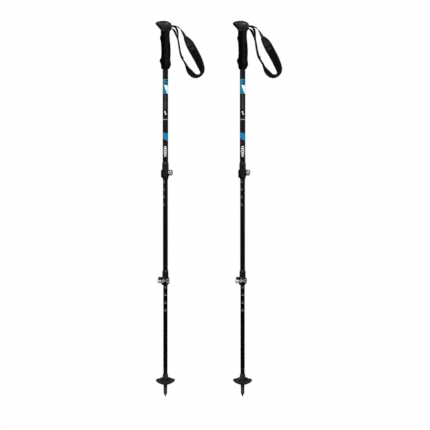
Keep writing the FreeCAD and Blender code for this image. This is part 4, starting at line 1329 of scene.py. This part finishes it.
def build_backdrop():
    """A floor that bends up into a wall behind the poles."""
    profile = [(-BACKDROP_REACH, FLOOR_Z), (BEND_START_Y, FLOOR_Z)]
    for i in range(1, BEND_STEPS + 1):
        angle = math.pi / 2 * i / BEND_STEPS
        rise = BEND_RADIUS * (1 - math.cos(angle))
        profile.append((BEND_START_Y + BEND_RADIUS * math.sin(angle), FLOOR_Z + rise))
    profile.append((BEND_START_Y + BEND_RADIUS, WALL_TOP_Z))
    verts = [(x, y, z) for y, z in profile for x in (-BACKDROP_REACH, BACKDROP_REACH)]
    faces = [(2 * i, 2 * i + 1, 2 * i + 3, 2 * i + 2) for i in range(len(profile) - 1)]
    backdrop = link(new_mesh("backdrop", verts, faces), "backdrop")
    backdrop.data.materials.append(backdrop_material())
    backdrop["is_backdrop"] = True


# ---------------------------------------------------------------- lights, world, camera
def area_light(name, location, target, size, size_y, power):
    light = bpy.data.lights.new(name, "AREA")
    light.shape = "RECTANGLE"
    light.size = size
    light.size_y = size_y
    light.energy = power
    obj = bpy.data.objects.new(name, light)
    obj.location = location
    aim = Vector(target) - Vector(location)
    obj.rotation_euler = aim.to_track_quat("-Z", "Y").to_euler()
    obj.visible_camera = False
    scene.collection.objects.link(obj)
    obj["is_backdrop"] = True


def build_world():
    """The studio all round reads white to the camera but stays a weak light."""
    white, light_strength, seen_strength = (1.0, 1.0, 1.0, 1.0), 0.12, 1.0
    world = bpy.data.worlds.new("soft_world")
    world.use_nodes = True
    nodes, links = world.node_tree.nodes, world.node_tree.links
    weak = nodes["Background"]
    seen = nodes.new("ShaderNodeBackground")
    for background, strength in ((weak, light_strength), (seen, seen_strength)):
        background.inputs[0].default_value = white
        background.inputs[1].default_value = strength
    path = nodes.new("ShaderNodeLightPath")
    mix = nodes.new("ShaderNodeMixShader")
    links.new(path.outputs["Is Camera Ray"], mix.inputs[0])
    links.new(weak.outputs[0], mix.inputs[1])
    links.new(seen.outputs[0], mix.inputs[2])
    links.new(mix.outputs[0], nodes["World Output"].inputs[0])
    scene.world = world


def build_camera():
    distance, view_width, sensor = 2.4, 1.4061, 36.0  # view_width is framed at y = 0
    camera = bpy.data.cameras.new("photo_camera")
    camera.sensor_width = sensor
    camera.lens = sensor * distance / view_width
    camera.clip_end = 60.0
    obj = link(camera, "photo_camera")
    obj.location = (0.1622, -distance, 0.5929)
    obj.rotation_euler = (math.radians(90), 0, 0)
    obj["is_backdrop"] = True
    scene.camera = obj


build_backdrop()
area_light(
    "key", location=(-2.5, -2.4, 2.7), target=(0.15, 0, 0.7), size=1.3, size_y=2.0, power=84,
)
area_light(
    "rim_right", location=(2.6, -0.6, 1.6), target=(0.15, 0, 0.6), size=0.7, size_y=2.4, power=20,
)
area_light(
    "top_front", location=(0.9, -3.0, 3.3), target=(0.15, 0, 0.65), size=1.5, size_y=1.5,
    power=125,
)
area_light(
    "back_fill", location=(-0.9, 3.0, 3.0), target=(0.15, 0, 0.7), size=1.4, size_y=1.4, power=32,
)
build_world()
scene.view_settings.view_transform = "Standard"
scene.view_settings.look = "None"
build_camera()

bounds_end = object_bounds()


def plain(value):
    """Bounds as plain, rounded JSON values."""
    if isinstance(value, dict):
        return {key: plain(item) for key, item in value.items()}
    if hasattr(value, "__len__") and not isinstance(value, str):
        return [plain(item) for item in value]
    return value if isinstance(value, (int, str)) or value is None else round(float(value), 6)


{"start": plain(bounds_start), "end": plain(bounds_end)}
